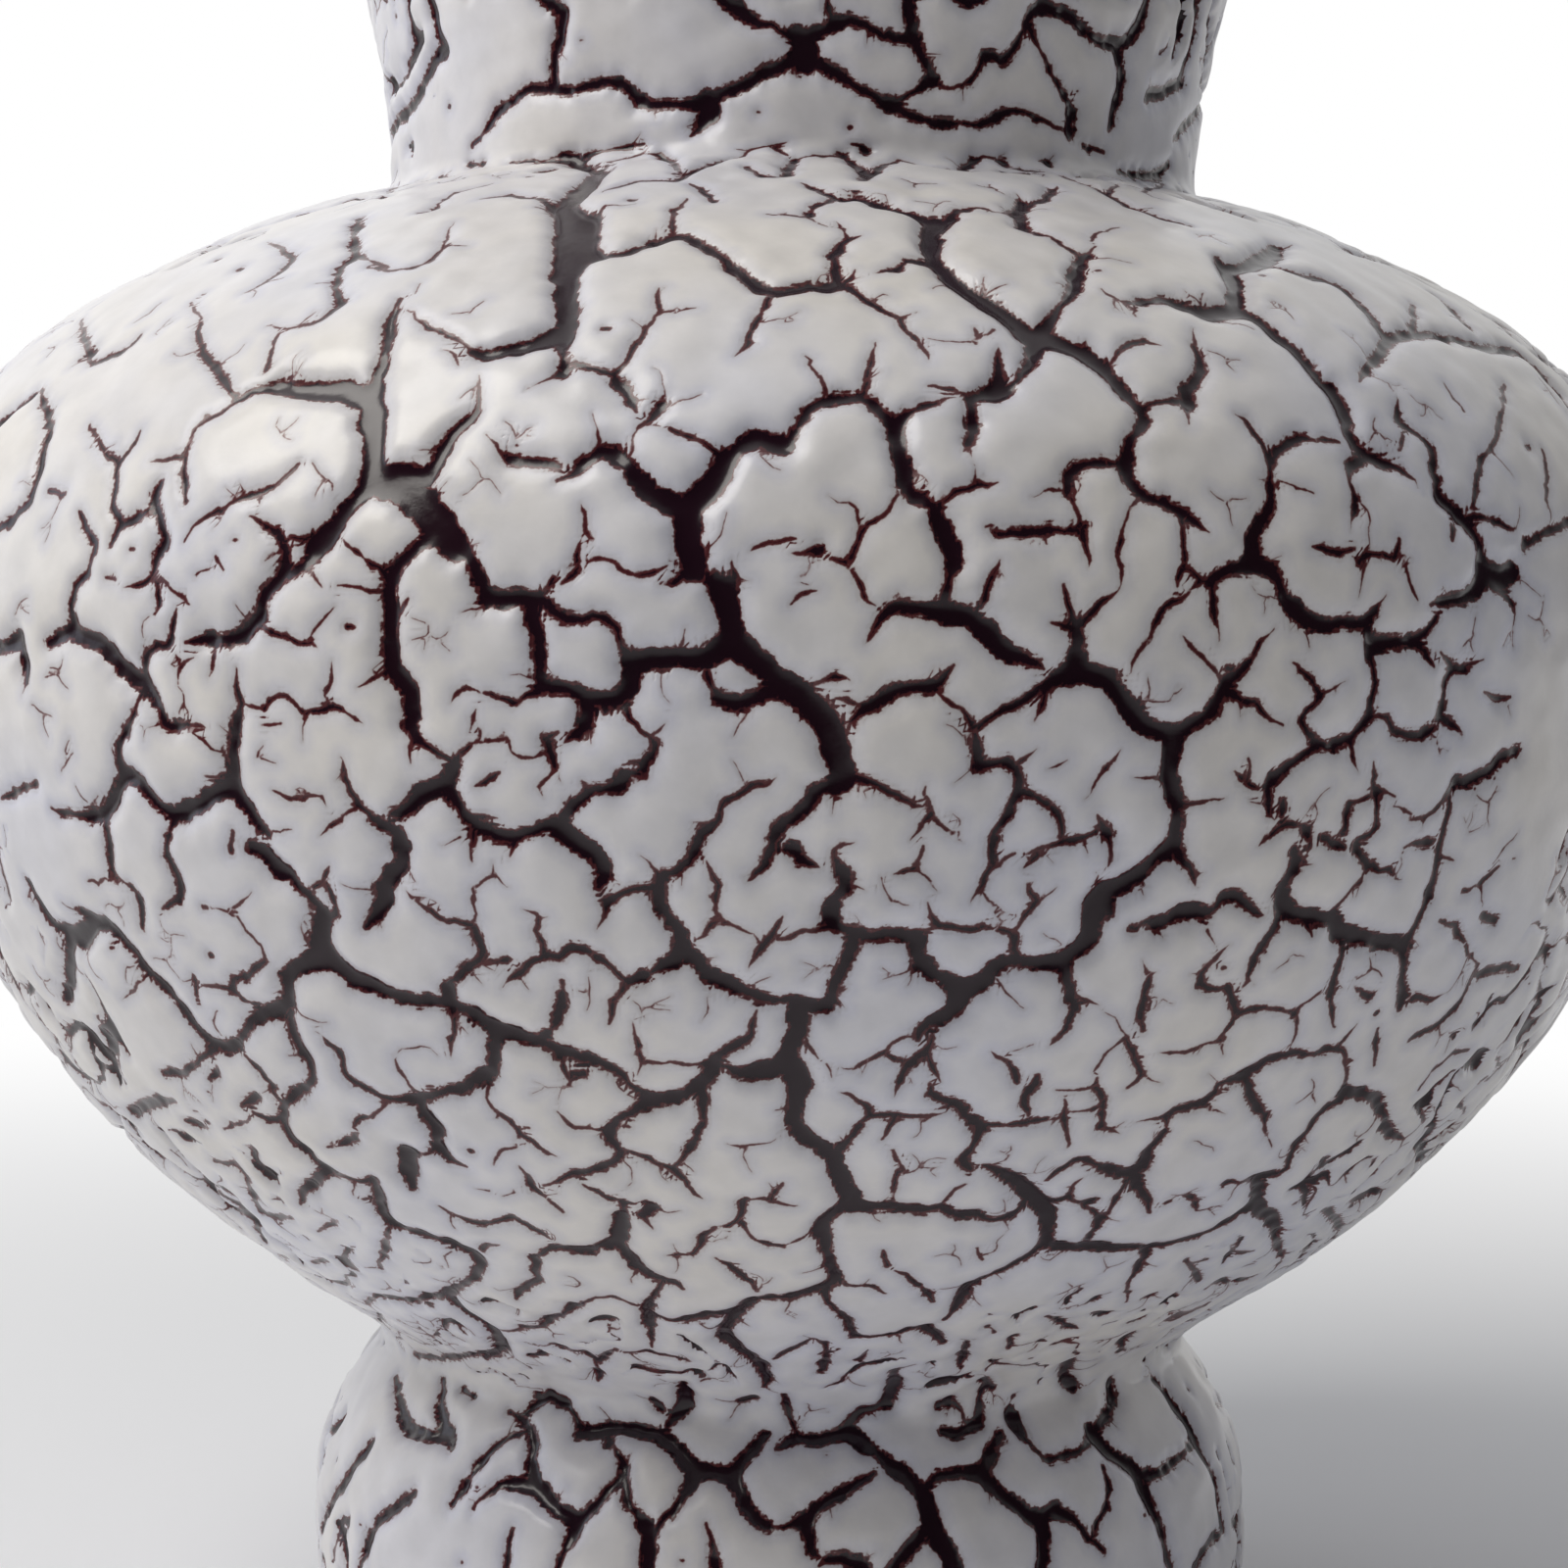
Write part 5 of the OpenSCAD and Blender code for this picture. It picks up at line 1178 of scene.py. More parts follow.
@dataclass
class TracedCracks:
    """The cracks traced from the photograph, laid on the vase and broken up as finely as glaze tears.

    A stretch gets a point each step, which strays from it and changes its width, and some points get a spur.
    """

    outline: VaseOutline
    camera: PhotoCamera
    miss: float = 1.2
    seed: int = 5
    step: float = 0.4
    spread: Span = (0.05, 0.95)
    stray: float = 0.07
    swell: float = 0.06
    most_change: float = 0.25
    least_half: float = 0.02
    spur_share: float = 0.06
    spur_from: float = 0.06
    spur_turn: Span = (0.5, 1.3)
    spur_reach: Span = (0.1, 0.9)
    spur_half: float = 0.1

    def laid(self) -> list[np.ndarray]:
        """Lays the traced cracks on the vase, but for those whose sight lines miss it.

        Returns:
            For each crack and spur, rows of turn, length along the face and half width.
        """
        paths = [
            np.array([[float(v) for v in point.split(",")] for point in path.split()])
            for text in TRACED_CRACKS.values()
            for path in text.split(";")
        ]
        found = self.camera.hits(np.concatenate(paths), self.outline)
        draws = np.random.RandomState(self.seed)
        cracks, start = [], 0
        for path in paths:
            hit = found[start : start + len(path)]
            start += len(path)
            if len(path) > 1 and hit[:, 3].max() < self.miss:
                cracks += self.frayed(np.column_stack([hit[:, :2], path[:, 2] / 2 * hit[:, 2]]), draws)
        return cracks

    def frayed(self, path: np.ndarray, draws: np.random.RandomState) -> list[np.ndarray]:
        """Breaks a crack up, with short spurs at its sides.

        Args:
            path: Rows of turn, length along the face and half width.
            draws: Source of the unevenness.

        Returns:
            The crack and its spurs, as such rows.
        """
        rows, spurs = [path[0]], []
        for a, b in zip(path, path[1:]):
            r = float(np.interp((a[1] + b[1]) / 2, self.outline.lengths, self.outline.face[:, 0]))
            scale = np.array([r, 1.0, 1.0])
            way = ((b - a) * scale)[:2]
            length = max(float(np.linalg.norm(way)), SHORT)
            side = np.array([-way[1], way[0]]) / length
            count = max(1, round(length / self.step))
            for share in [*np.sort(draws.uniform(*self.spread, count - 1)), 1]:
                spot = a + share * (b - a)
                if share < 1:
                    shift = side * draws.normal() * min(self.stray, self.most_change * length)
                    spot = spot + np.array([*shift, 0]) / scale
                    swell = draws.normal() * min(self.swell, self.most_change * spot[2])
                    spot[2] = max(spot[2] + swell, self.least_half)
                rows.append(spot)
                if draws.uniform() < self.spur_share and spot[2] > self.spur_from:
                    turn = draws.choice([-1, 1]) * draws.uniform(*self.spur_turn)
                    reach = spot[2] + draws.uniform(*self.spur_reach)
                    along = way / length * math.cos(turn) + side * math.sin(turn)
                    root, tip = spot.copy(), spot + np.array([*(along * reach), 0]) / scale
                    root[2], tip[2] = min(spot[2] / 2, self.spur_half), self.least_half
                    spurs.append(np.array([root, tip]))
        return [np.array(rows), *spurs]


@dataclass
class CrawledGlaze:
    """The white glaze outside and inside the lip, as rings of relief that close on themselves."""

    outline: VaseOutline
    camera: PhotoCamera
    columns: int = 1360
    row_height: float = 0.26
    most_rows: int = 58
    foot_start: float = 0.35
    lip_stop: float = 0.1
    inner_band: float = 10.0
    ground_share: float = 0.2
    folds_wide: int = 5
    folds_narrow: int = 4
    # Where grown cracks give way to traced ones: pixels at the picture's edges, gaps, facings and lengths
    picture_columns: tuple[tuple[int, int], ...] = ((-5, 15), (1585, 1605))
    picture_rows: tuple[tuple[int, int], ...] = ((-5, 10), (1595, 1615))
    beside_traced: Span = (0.7, 1.4)
    seen_at_all: Span = (0.08, 0.16)
    shoulder_up: Span = (0.25, 0.65)
    neck_fade: float = 3.0
    belly_brink: float = 0.36
    shoulder_less: float = 0.27
    neck_more: float = 0.12
    brink_fade: float = 0.1
    # How far out a crack's vector is kept, which the finish reads
    vector_reach: Span = (0.34, 0.6)
    # A ring's map, as shares of a strip: its margin, and where the face, underside and edges start and how
    # high they are
    map_margin: float = 0.004
    face_band: Span = (0.01, 0.93)
    under_band: Span = (0.965, 0.012)
    low_band: Span = (0.95, 0.01)
    high_band: Span = (0.982, 0.01)

    def quiet(self, field: CrackField) -> np.ndarray:
        """How far each point of the grid lies in the traced front, or by a traced crack at its sides.

        Args:
            field: The grid.

        Returns:
            0 where the crackle is grown, to 1 where it is traced.
        """
        columns, rows = self.camera.pixels_of(field.places)
        sight = np.array(self.camera.place) - field.places
        sight /= np.linalg.norm(sight, axis=-1)[..., None]
        facing = field.rings[:, 2:3] * (
            sight[..., 0] * np.cos(field.turns) + sight[..., 1] * np.sin(field.turns)
        ) + field.rings[:, 3:4] * sight[..., 2]
        inside = 1.0
        for pixels, (start, end) in ((columns, self.picture_columns), (rows, self.picture_rows)):
            inside = inside * ease(pixels, *start) * (1 - ease(pixels, *end))
        near = (1 - ease(field.gap, *self.beside_traced)) * ease(facing, *self.seen_at_all)
        shoulder = ease(field.rings[:, 3:4], *self.shoulder_up)
        neck = ease(field.runs[:, None], self.outline.neck_run, self.outline.neck_run + self.neck_fade)
        brink = self.belly_brink - self.shoulder_less * shoulder + self.neck_more * neck
        return np.maximum(ease(facing, brink, brink + self.brink_fade), near) * inside

    def blank(self, start: float, end: float) -> CrackField:
        """An uncracked field between two lengths along the face."""
        count = round((end - start) / self.row_height)
        return CrackField(self.outline, np.linspace(start, end, count + 1), self.columns)

    def crack_outside(self) -> CrackField:
        """Cracks the glaze of the whole outside.

        Returns:
            Its cracks, from the foot to the lip.
        """
        waist, throat = self.outline.waist_run, self.outline.neck_run
        widest, shoulder = self.outline.widest_run, self.outline.shoulder_run
        field = self.blank(self.foot_start, self.outline.lip_run - self.lip_stop)
        for path in TracedCracks(self.outline, self.camera).laid():
            field.stamp(path)
        quiet = self.quiet(field)
        # Cell, width, share missing, wander and seed, from a coarse net to a fine one on each stretch
        for net in (
            Net(15.0, 0.80, 0.12, 1.1, 11, waist, throat),
            Net(8.6, 0.42, 0.26, 0.9, 12, waist, shoulder),
            Net(5.0, 0.17, 0.58, 0.6, 13, waist, shoulder),
            Net(10.0, 0.36, 0.30, 0.9, 15, shoulder, throat),
            Net(6.0, 0.14, 0.66, 0.6, 16, shoulder, throat),
            Net(6.0, 0.65, 0.10, 0.5, 21, high=waist),
            Net(3.6, 0.16, 0.80, 0.5, 22, high=waist),
            Net(7.2, 0.65, 0.10, 0.5, 31, low=throat),
            Net(4.4, 0.18, 0.66, 0.5, 32, low=throat),
        ):
            field.grow(net, quiet)
        field.sprout(tries=2600, low=waist, high=widest, seed=61)
        field.sprout(tries=700, low=widest, high=shoulder, seed=62)
        field.sprout(tries=220, low=shoulder, high=throat, seed=63)
        field.prick(count=420, low=0.06, high=0.17, seed=41)
        field.end_at(field.runs[0], half=0.55, seed=51)
        field.end_at(field.runs[-1], half=0.7, seed=53)
        return field

    def crack_inside(self) -> CrackField:
        """Cracks the glaze inside the lip.

        Returns:
            Its cracks, from the lip down.
        """
        start = self.outline.inner_run
        field = self.blank(start + self.lip_stop, start + self.inner_band)
        calm = np.zeros(field.gap.shape, np.float32)
        for net in (Net(7.5, 0.8, 0.1, 0.5, 61), Net(4.4, 0.25, 0.6, 0.5, 62)):
            field.grow(net, calm)
        field.end_at(field.runs[0], half=0.7, seed=63)
        field.end_at(field.runs[-1], half=0.8, seed=65)
        return field

    @staticmethod
    def facing(points: np.ndarray) -> np.ndarray:
        """The directions out of a grid, from each point's neighbours on all sides.

        Args:
            points: The grid's points.

        Returns:
            A direction of length 1 for each point.
        """
        across = np.roll(points, -1, 1) - np.roll(points, 1, 1)
        along = np.gradient(points, axis=0)
        out = np.cross(across, along)
        return out / np.linalg.norm(out, axis=-1)[..., None]

    @staticmethod
    def bends(rings: np.ndarray, slack: float = 0.08) -> list[int]:
        """Where a ring's underside bends, so that it keeps under the face.

        Args:
            rings: Radius and height of each of the ring's rows.
            slack: How far the underside may leave the face's shape.

        Returns:
            Rows between the first and the last.
        """
        kept = [0]
        for row in range(1, len(rings) - 1):
            way = rings[kept[-1] + 1 : row + 2, :2] - rings[kept[-1], :2]
            off = way[:, 0] * way[-1, 1] - way[:, 1] * way[-1, 0]
            if np.abs(off).max() > slack * np.linalg.norm(way[-1]):
                kept.append(row)
        return kept[1:]

    @staticmethod
    def extruded(
        bm: bmesh.types.BMesh, edges: list[bmesh.types.BMEdge], way: Place
    ) -> list[bmesh.types.BMEdge]:
        """Extrudes a chain of edges.

        Args:
            bm: The mesh that is edited.
            edges: The chain.
            way: How far the new chain stands from it.

        Returns:
            The new chain.
        """
        made = bmesh.ops.extrude_edge_only(bm, edges=edges)["geom"]
        verts = {g for g in made if isinstance(g, bmesh.types.BMVert)}
        bmesh.ops.translate(bm, verts=list(verts), vec=way)
        return [g for g in made if isinstance(g, bmesh.types.BMEdge) and verts.issuperset(g.verts)]

    def sheet(self, rows: int, columns: int, bends: list[int]) -> bpy.types.Mesh:
        """A flat grid whose two long edges are turned under and bridged, ready to be rolled into a ring.

        Args:
            rows: Number of cells along the face.
            columns: Number of cells round the axis.
            bends: Rows where the underside bends.

        Returns:
            The mesh, with cells one unit wide and the underside at a height of 1.
        """
        bm = bmesh.new()
        size = Matrix.Diagonal((columns / 2, rows / 2, 1, 1))
        bmesh.ops.create_grid(
            bm, x_segments=columns, y_segments=rows, size=1, matrix=size, calc_uvs=False
        )
        bmesh.ops.translate(bm, verts=bm.verts, vec=(columns / 2, rows / 2, 0))
        rims = [[e for e in bm.edges if all(round(v.co.y) == row for v in e.verts)] for row in (0, rows)]
        low, high = (self.extruded(bm, rim, (0, 0, 1)) for rim in rims)
        for start, end in zip([0, *bends], bends):
            low = self.extruded(bm, low, (0, end - start, 0))
        bmesh.ops.bridge_loops(bm, edges=low + high)
        mesh = bpy.data.meshes.new("ring")
        bm.to_mesh(mesh)
        bm.free()
        return mesh

    def ring(
        self, name: str, field: CrackField, rows: tuple[int, int], stride: int, folds: int, shape: np.ndarray
    ) -> bpy.types.Object:
        """Builds one ring of glaze.

        Args:
            name: The piece's name.
            field: The cracks.
            rows: First and last row of the grid that the ring spans.
            stride: Columns of the grid for each column of the ring.
            folds: Strips that the ring's map is folded into.
            shape: Points of the whole grid, in millimetres.

        Returns:
            The ring.
        """
        first, last = rows
        columns = field.columns // stride
        height = last - first
        mesh = self.sheet(height, columns, self.bends(field.rings[first : last + 1]))
        flat = np.zeros(len(mesh.vertices) * 3, np.float32)
        mesh.vertices.foreach_get("co", flat)
        flat = np.rint(flat.reshape(-1, 3))
        column, row = (flat[:, i].astype(int) for i in (0, 1))
        under = flat[:, 2] > 0
        self.map_strips(mesh, flat, columns, height, folds)
        grid_column = (column % columns) * stride
        points = shape[row + first, grid_column]
        ring_at = field.rings[row + first]
        turn = field.turns[grid_column]
        r, z = (ring_at[:, i] - self.ground_share * ring_at[:, i + 2] for i in (0, 1))
        sunk = np.stack([r * np.cos(turn), r * np.sin(turn), z], 1)
        points = np.where(under[:, None], sunk, points) * MM
        mesh.vertices.foreach_set("co", points.astype(np.float32).ravel())
        index = mesh.attributes.new("grid_index", "INT", "POINT")
        index.data.foreach_set("value", ((row + first) * field.columns + grid_column).astype(np.int32))
        bm = bmesh.new()
        bm.from_mesh(mesh)
        bm.verts.ensure_lookup_table()
        seam = [bm.verts[int(i)] for i in np.nonzero((column == 0) | (column == columns))[0]]
        bmesh.ops.remove_doubles(bm, verts=seam, dist=SHORT * MM)
        bmesh.ops.recalc_face_normals(bm, faces=bm.faces)
        bm.to_mesh(mesh)
        bm.free()
        self.write_cracks(mesh, field)
        mesh.name = name
        piece = bpy.data.objects.new(name, mesh)
        bpy.context.scene.collection.objects.link(piece)
        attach(piece, "root")
        return piece

    def map_strips(self, mesh: bpy.types.Mesh, flat: np.ndarray, columns: int, rows: int, folds: int) -> None:
        """Maps a ring in strips, one above the other, so that the map is about as wide as it is high.

        Args:
            mesh: The flat sheet.
            flat: Its points, before it is rolled, in whole cells.
            columns: Cells round the axis.
            rows: Cells along the face.
            folds: Number of strips.
        """
        corners = np.zeros(len(mesh.loops), np.int32)
        mesh.loops.foreach_get("vertex_index", corners)
        starts = np.zeros(len(mesh.polygons), np.int32)
        mesh.polygons.foreach_get("loop_start", starts)
        sizes = np.diff(np.append(starts, len(mesh.loops)))
        place = flat[corners]
        face_of = np.repeat(np.arange(len(starts)), sizes)
        low_x, low_y, low_z = (np.minimum.reduceat(place[:, i], starts) for i in range(3))
        high_y, high_z = (np.maximum.reduceat(place[:, i], starts) for i in (1, 2))
        per_fold = columns // folds
        fold = np.clip(low_x // per_fold, 0, folds - 1)[face_of]
        u = self.map_margin + (1 - 2 * self.map_margin) * (place[:, 0] / per_fold - fold)
        edge = high_z > low_z
        v = self.face_band[0] + self.face_band[1] * place[:, 1] / rows
        for (start, length), chosen, share in (
            (self.under_band, low_z > 0, place[:, 1] / rows),
            (self.low_band, edge & (high_y == 0), place[:, 2]),
            (self.high_band, edge & (low_y > 0), place[:, 2]),
        ):
            v = np.where(chosen[face_of], start + length * share, v)
        layer = mesh.uv_layers.new(name="OFBake")
        layer.data.foreach_set("uv", np.stack([u, (fold + v) / folds], 1).astype(np.float32).ravel())

    def write_cracks(self, mesh: bpy.types.Mesh, field: CrackField) -> None:
        """Gives a ring's points what the glaze's finish reads, and their facing over the whole grid.

        Args:
            mesh: The ring's mesh.
            field: The cracks.
        """
        index = np.zeros(len(mesh.vertices), np.int32)
        mesh.attributes["grid_index"].data.foreach_get("value", index)
        mesh.attributes.remove(mesh.attributes["grid_index"])
        near = field.beyond.ravel()[index]
        keep = 1 - ease(near, *self.vector_reach)
        across = field.across.ravel()[index] * keep
        along = field.along.ravel()[index] * keep
        rest = np.sqrt(np.maximum(near**2 - across**2 - along**2, 0))
        vectors = np.stack([across, along, rest], 1).astype(np.float32)
        halves = field.half.ravel()[index].astype(np.float32)
        mesh.attributes.new("crack_way", "FLOAT_VECTOR", "POINT").data.foreach_set("vector", vectors.ravel())
        mesh.attributes.new("crack_half", "FLOAT", "POINT").data.foreach_set("value", halves)
        mesh.polygons.foreach_set("use_smooth", np.ones(len(mesh.polygons), bool))
        mesh.normals_split_custom_set_from_vertices(self.normals.reshape(-1, 3)[index])

    def stretch(
        self, label: str, node: str, field: CrackField, span: tuple[int, int], stride: int, folds: int,
        shape: np.ndarray, finish: bpy.types.Material,
    ) -> None:
        """Builds the rings of one stretch of the face.

        Args:
            label: Start of the rings' names.
            node: The CAD node that they stand for.
            field: The cracks.
            span: First and last row of the stretch.
            stride: Columns of the grid for each column of a ring.
            folds: Strips of each ring's map.
            shape: Points of the whole grid.
            finish: Material of the glaze.
        """
        count = math.ceil((span[1] - span[0]) / (self.most_rows * stride))
        cuts = np.rint(np.linspace(span[0], span[1], count + 1)).astype(int)
        for i, (low, high) in enumerate(zip(cuts, cuts[1:])):
            name = f"{label}_{i + 1}" if count > 1 else label
            ring = self.ring(name, field, (int(low), int(high)), stride, folds, shape)
            dress(ring, finish)
            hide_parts(node)
            LOG.info("%s: %d points", name, len(ring.data.vertices))

    def build(self, finish: bpy.types.Material) -> None:
        """Builds all the rings, from the foot up and over the lip.

        Args:
            finish: Material of the glaze.
        """
        outside = self.crack_outside()
        LOG.info("outside cracked")
        runs = outside.runs
        waist, throat = np.searchsorted(runs, [self.outline.waist_run, self.outline.neck_run])
        lift = outside.lift(seed=71)
        # Where a coarser ring meets a finer one, the finer one's extra columns keep to the coarser one's edge
        for row in (waist, throat):
            lift[row, 1::2] = (lift[row, 0::2] + np.roll(lift[row, 0::2], -1)) / 2
        shape = outside.place(lift)
        self.normals = self.facing(shape)
        for label, node, span, stride, folds in (
            ("foot_crackle", "foot_islands", (0, waist), 2, self.folds_narrow),
            ("belly_crackle", "belly_islands", (waist, throat), 1, self.folds_wide),
            ("neck_crackle", "neck_islands", (throat, len(runs) - 1), 2, self.folds_narrow),
        ):
            self.stretch(label, node, outside, span, stride, folds, shape, finish)
        inside = self.crack_inside()
        shape = inside.place(inside.lift(seed=73))
        self.normals = self.facing(shape)
        span = (0, len(inside.runs) - 1)
        self.stretch("lip_crackle", "neck_islands", inside, span, 2, self.folds_wide, shape, finish)


@dataclass(frozen=True)
class CrackleFinish:
    """Thick glossy white glaze crawled over a near-black ground, wood-ash white with a milky blue where thin.

    The white reads warm and dense where it is thick, turns milky and bluish over a millimetre of its edge,
    and ends in a thin maroon-brown fringe where it has melted into the dark ground, which is glassier.
    """

    ground: str = "#210a17"
    fringe: str = "#5a292c"
    edge: str = "#9a7f7f"
    thin: str = "#cfcccf"
    half_thick: str = "#dddce1"
    thick: str = "#e9e7e6"
    ior: float = 1.46
    ground_gloss: float = 0.2
    white_gloss: float = 0.28
    edge_grain: float = 0.3
    edge_fray: float = 0.4
    thin_close: float = 0.075
    mottle: float = 2.4
    drift: float = 16.0
    warm: str = "#fefcf9"
    cool: str = "#f6f7fe"
    skin: float = 0.5

    def build(self) -> bpy.types.Material:
        """Makes the material.

        Returns:
            The material.
        """
        material, tree = new_material("crawled_white_glaze")
        place = add_node(tree, "ShaderNodeTexCoord").outputs["Object"]
        fray, cloud, drift, orange = (
            add_node(
                tree, "ShaderNodeTexNoise",
                {"Vector": place, "Scale": 1 / (size * MM), "Detail": detail, "Roughness": roughness}
            ).outputs["Fac"]
            for size, detail, roughness in (
                (self.edge_grain, 3.0, 0.6), (self.mottle, 4.0, 0.5), (self.drift, 3.0, 0.5),
                (self.skin, 2.0, 0.5)
            )
        )
        way = add_node(tree, "ShaderNodeAttribute", attribute_name="crack_way").outputs["Vector"]
        half = add_node(tree, "ShaderNodeAttribute", attribute_name="crack_half").outputs["Fac"]
        far = add_node(tree, "ShaderNodeVectorMath", {0: way}, operation="LENGTH").outputs["Value"]
        gap = add_node(tree, "ShaderNodeMath", {0: far, 1: half}, operation="SUBTRACT").outputs[0]
        frayed = add_node(tree, "ShaderNodeMath", {0: fray, 1: 0.5}, operation="SUBTRACT").outputs[0]
        reach = add_node(
            tree, "ShaderNodeMapRange",
            {"Value": half, "From Min": 0.03, "From Max": 0.3, "To Min": 0.2 * self.edge_fray,
             "To Max": self.edge_fray}
        ).outputs["Result"]
        closed = add_node(
            tree, "ShaderNodeMapRange", {"Value": half, "From Min": 0.04, "From Max": 0.24,
                                         "To Min": self.thin_close, "To Max": 0.0}
        ).outputs["Result"]
        parted = add_node(tree, "ShaderNodeMath", {0: gap, 1: closed}, operation="ADD").outputs[0]
        ragged = add_node(
            tree, "ShaderNodeMath", {0: frayed, 1: reach, 2: parted}, operation="MULTIPLY_ADD"
        ).outputs[0]
        depth = add_node(
            tree, "ShaderNodeMapRange", {"Value": ragged, "From Min": -0.2, "From Max": 1.2}
        ).outputs["Result"]
        colour = add_node(
            tree, "ShaderNodeValToRGB", {"Fac": depth},
            stops={0.0: self.ground, 0.07: self.ground, 0.122: self.fringe, 0.156: self.fringe,
                   0.178: self.edge, 0.2: self.thin, 0.34: self.half_thick, 0.8: self.thick}
        ).outputs["Color"]
        shade = add_node(
            tree, "ShaderNodeMapRange", {"Value": cloud, "From Min": 0.3, "From Max": 0.7, "To Min": 0.93,
                                         "To Max": 1.04}
        ).outputs["Result"]
        breath = add_node(
            tree, "ShaderNodeValToRGB", {"Fac": drift}, stops={0.36: self.warm, 0.64: self.cool}
        ).outputs["Color"]
        tinted = add_node(
            tree, "ShaderNodeVectorMath", {0: colour, 1: breath}, operation="MULTIPLY"
        ).outputs[0]
        mottled = add_node(
            tree, "ShaderNodeVectorMath", {0: tinted, "Scale": shade}, operation="SCALE"
        ).outputs[0]
        gloss = add_node(
            tree, "ShaderNodeMapRange", {"Value": ragged, "From Min": -0.02, "From Max": 0.1,
                                         "To Min": self.ground_gloss, "To Max": self.white_gloss}
        ).outputs["Result"]
        brink = add_node(
            tree, "ShaderNodeMapRange", {"Value": ragged, "From Min": -0.05, "From Max": 0.3, "To Max": 1.8},
            interpolation_type="SMOOTHSTEP"
        ).outputs["Result"]
        height = add_node(tree, "ShaderNodeMath", {0: brink, 1: orange}, operation="ADD").outputs[0]
        bump = add_node(
            tree, "ShaderNodeBump", {"Height": height, "Strength": 0.35, "Distance": 0.03 * MM}
        ).outputs["Normal"]
        surface = add_node(
            tree, "ShaderNodeBsdfPrincipled",
            {"Base Color": mottled, "Roughness": gloss, "Normal": bump, "IOR": self.ior}
        ).outputs["BSDF"]
        add_node(tree, "ShaderNodeOutputMaterial", {"Surface": surface})
        return material


@dataclass(frozen=True)
class SpeckledFinish:
    """A finish of one colour with a second one clouded and speckled through it.

    The clay is coarse grey-brown stoneware, fired and bare, with a dry tooth. The slip is the same clay,
    finer and darker. The dark glaze is a glassy near-black with a breath of purple where it pools.
    """

    name: str
    base: str
    cloud: str
    speck: str
    gloss: float
    cloud_size: float
    speck_size: float
    speck_share: float
    tooth: float
    ior: float = 1.5

    def build(self) -> bpy.types.Material:
        """Makes the material.

        Returns:
            The material.
        """
        material, tree = new_material(self.name)
        place = add_node(tree, "ShaderNodeTexCoord").outputs["Object"]
        clouds, grains = (
            add_node(
                tree, "ShaderNodeTexNoise", {"Vector": place, "Scale": 1 / (size * MM), "Detail": detail}
            ).outputs["Fac"]
            for size, detail in ((self.cloud_size, 5.0), (self.speck_size, 2.0))
        )
        body = add_node(
            tree, "ShaderNodeValToRGB", {"Fac": clouds}, stops={0.35: self.base, 0.68: self.cloud}
        ).outputs["Color"]
        edge = 0.5 + 0.22 * (1 - self.speck_share)
        speck = add_node(
            tree, "ShaderNodeMapRange", {"Value": grains, "From Min": edge, "From Max": edge + 0.05}
        ).outputs["Result"]
        mixed = add_node(
            tree, "ShaderNodeMix", {"Factor": speck, 6: body, 7: linear(self.speck)}, data_type="RGBA"
        ).outputs[2]
        sheen = add_node(
            tree, "ShaderNodeMapRange",
            {"Value": clouds, "To Min": 0.85 * self.gloss, "To Max": 1.15 * self.gloss}
        ).outputs["Result"]
        bump = add_node(
            tree, "ShaderNodeBump", {"Height": grains, "Strength": 0.5, "Distance": self.tooth * MM}
        ).outputs["Normal"]
        surface = add_node(
            tree, "ShaderNodeBsdfPrincipled",
            {"Base Color": mixed, "Roughness": sheen, "Normal": bump, "IOR": self.ior}
        ).outputs["BSDF"]
        add_node(tree, "ShaderNodeOutputMaterial", {"Surface": surface})
        return material


CLAY = SpeckledFinish("bare_fired_stoneware", "#b09a80", "#9c8469", "#5e4a39", 0.85, 6.0, 0.6, 0.35, 0.06)
SLIP = SpeckledFinish("fired_joining_slip", "#9a866e", "#86725b", "#5a4838", 0.8, 4.0, 0.5, 0.25, 0.03)
DARK_GLAZE = SpeckledFinish(
    "glossy_dark_ground_glaze", "#1b1418", "#2a2026", "#3a2c2f", 0.14, 7.0, 0.8, 0.15, 0.01
)


@dataclass
class DressedNodes:
    """The CAD nodes that are shown as they are, and their finishes."""

    finishes: tuple[tuple[str, tuple[str, ...], SpeckledFinish], ...] = (
        ("clay", ("foot", "belly", "neck"), CLAY),
        ("slip", ("foot_joint_slip", "neck_joint_slip"), SLIP),
        ("dark_glaze", ("recess_glaze", "ground_glaze", "liner_glaze"), DARK_GLAZE),
    )

    def build(self) -> None:
        """Dresses the nodes."""
        for slot, nodes, finish in self.finishes:
            material = finish.build()
            for node in nodes:
                piece = bpy.data.objects[node]
                dress(piece, material)
                LOG.info("%s: %s", node, finish.name)


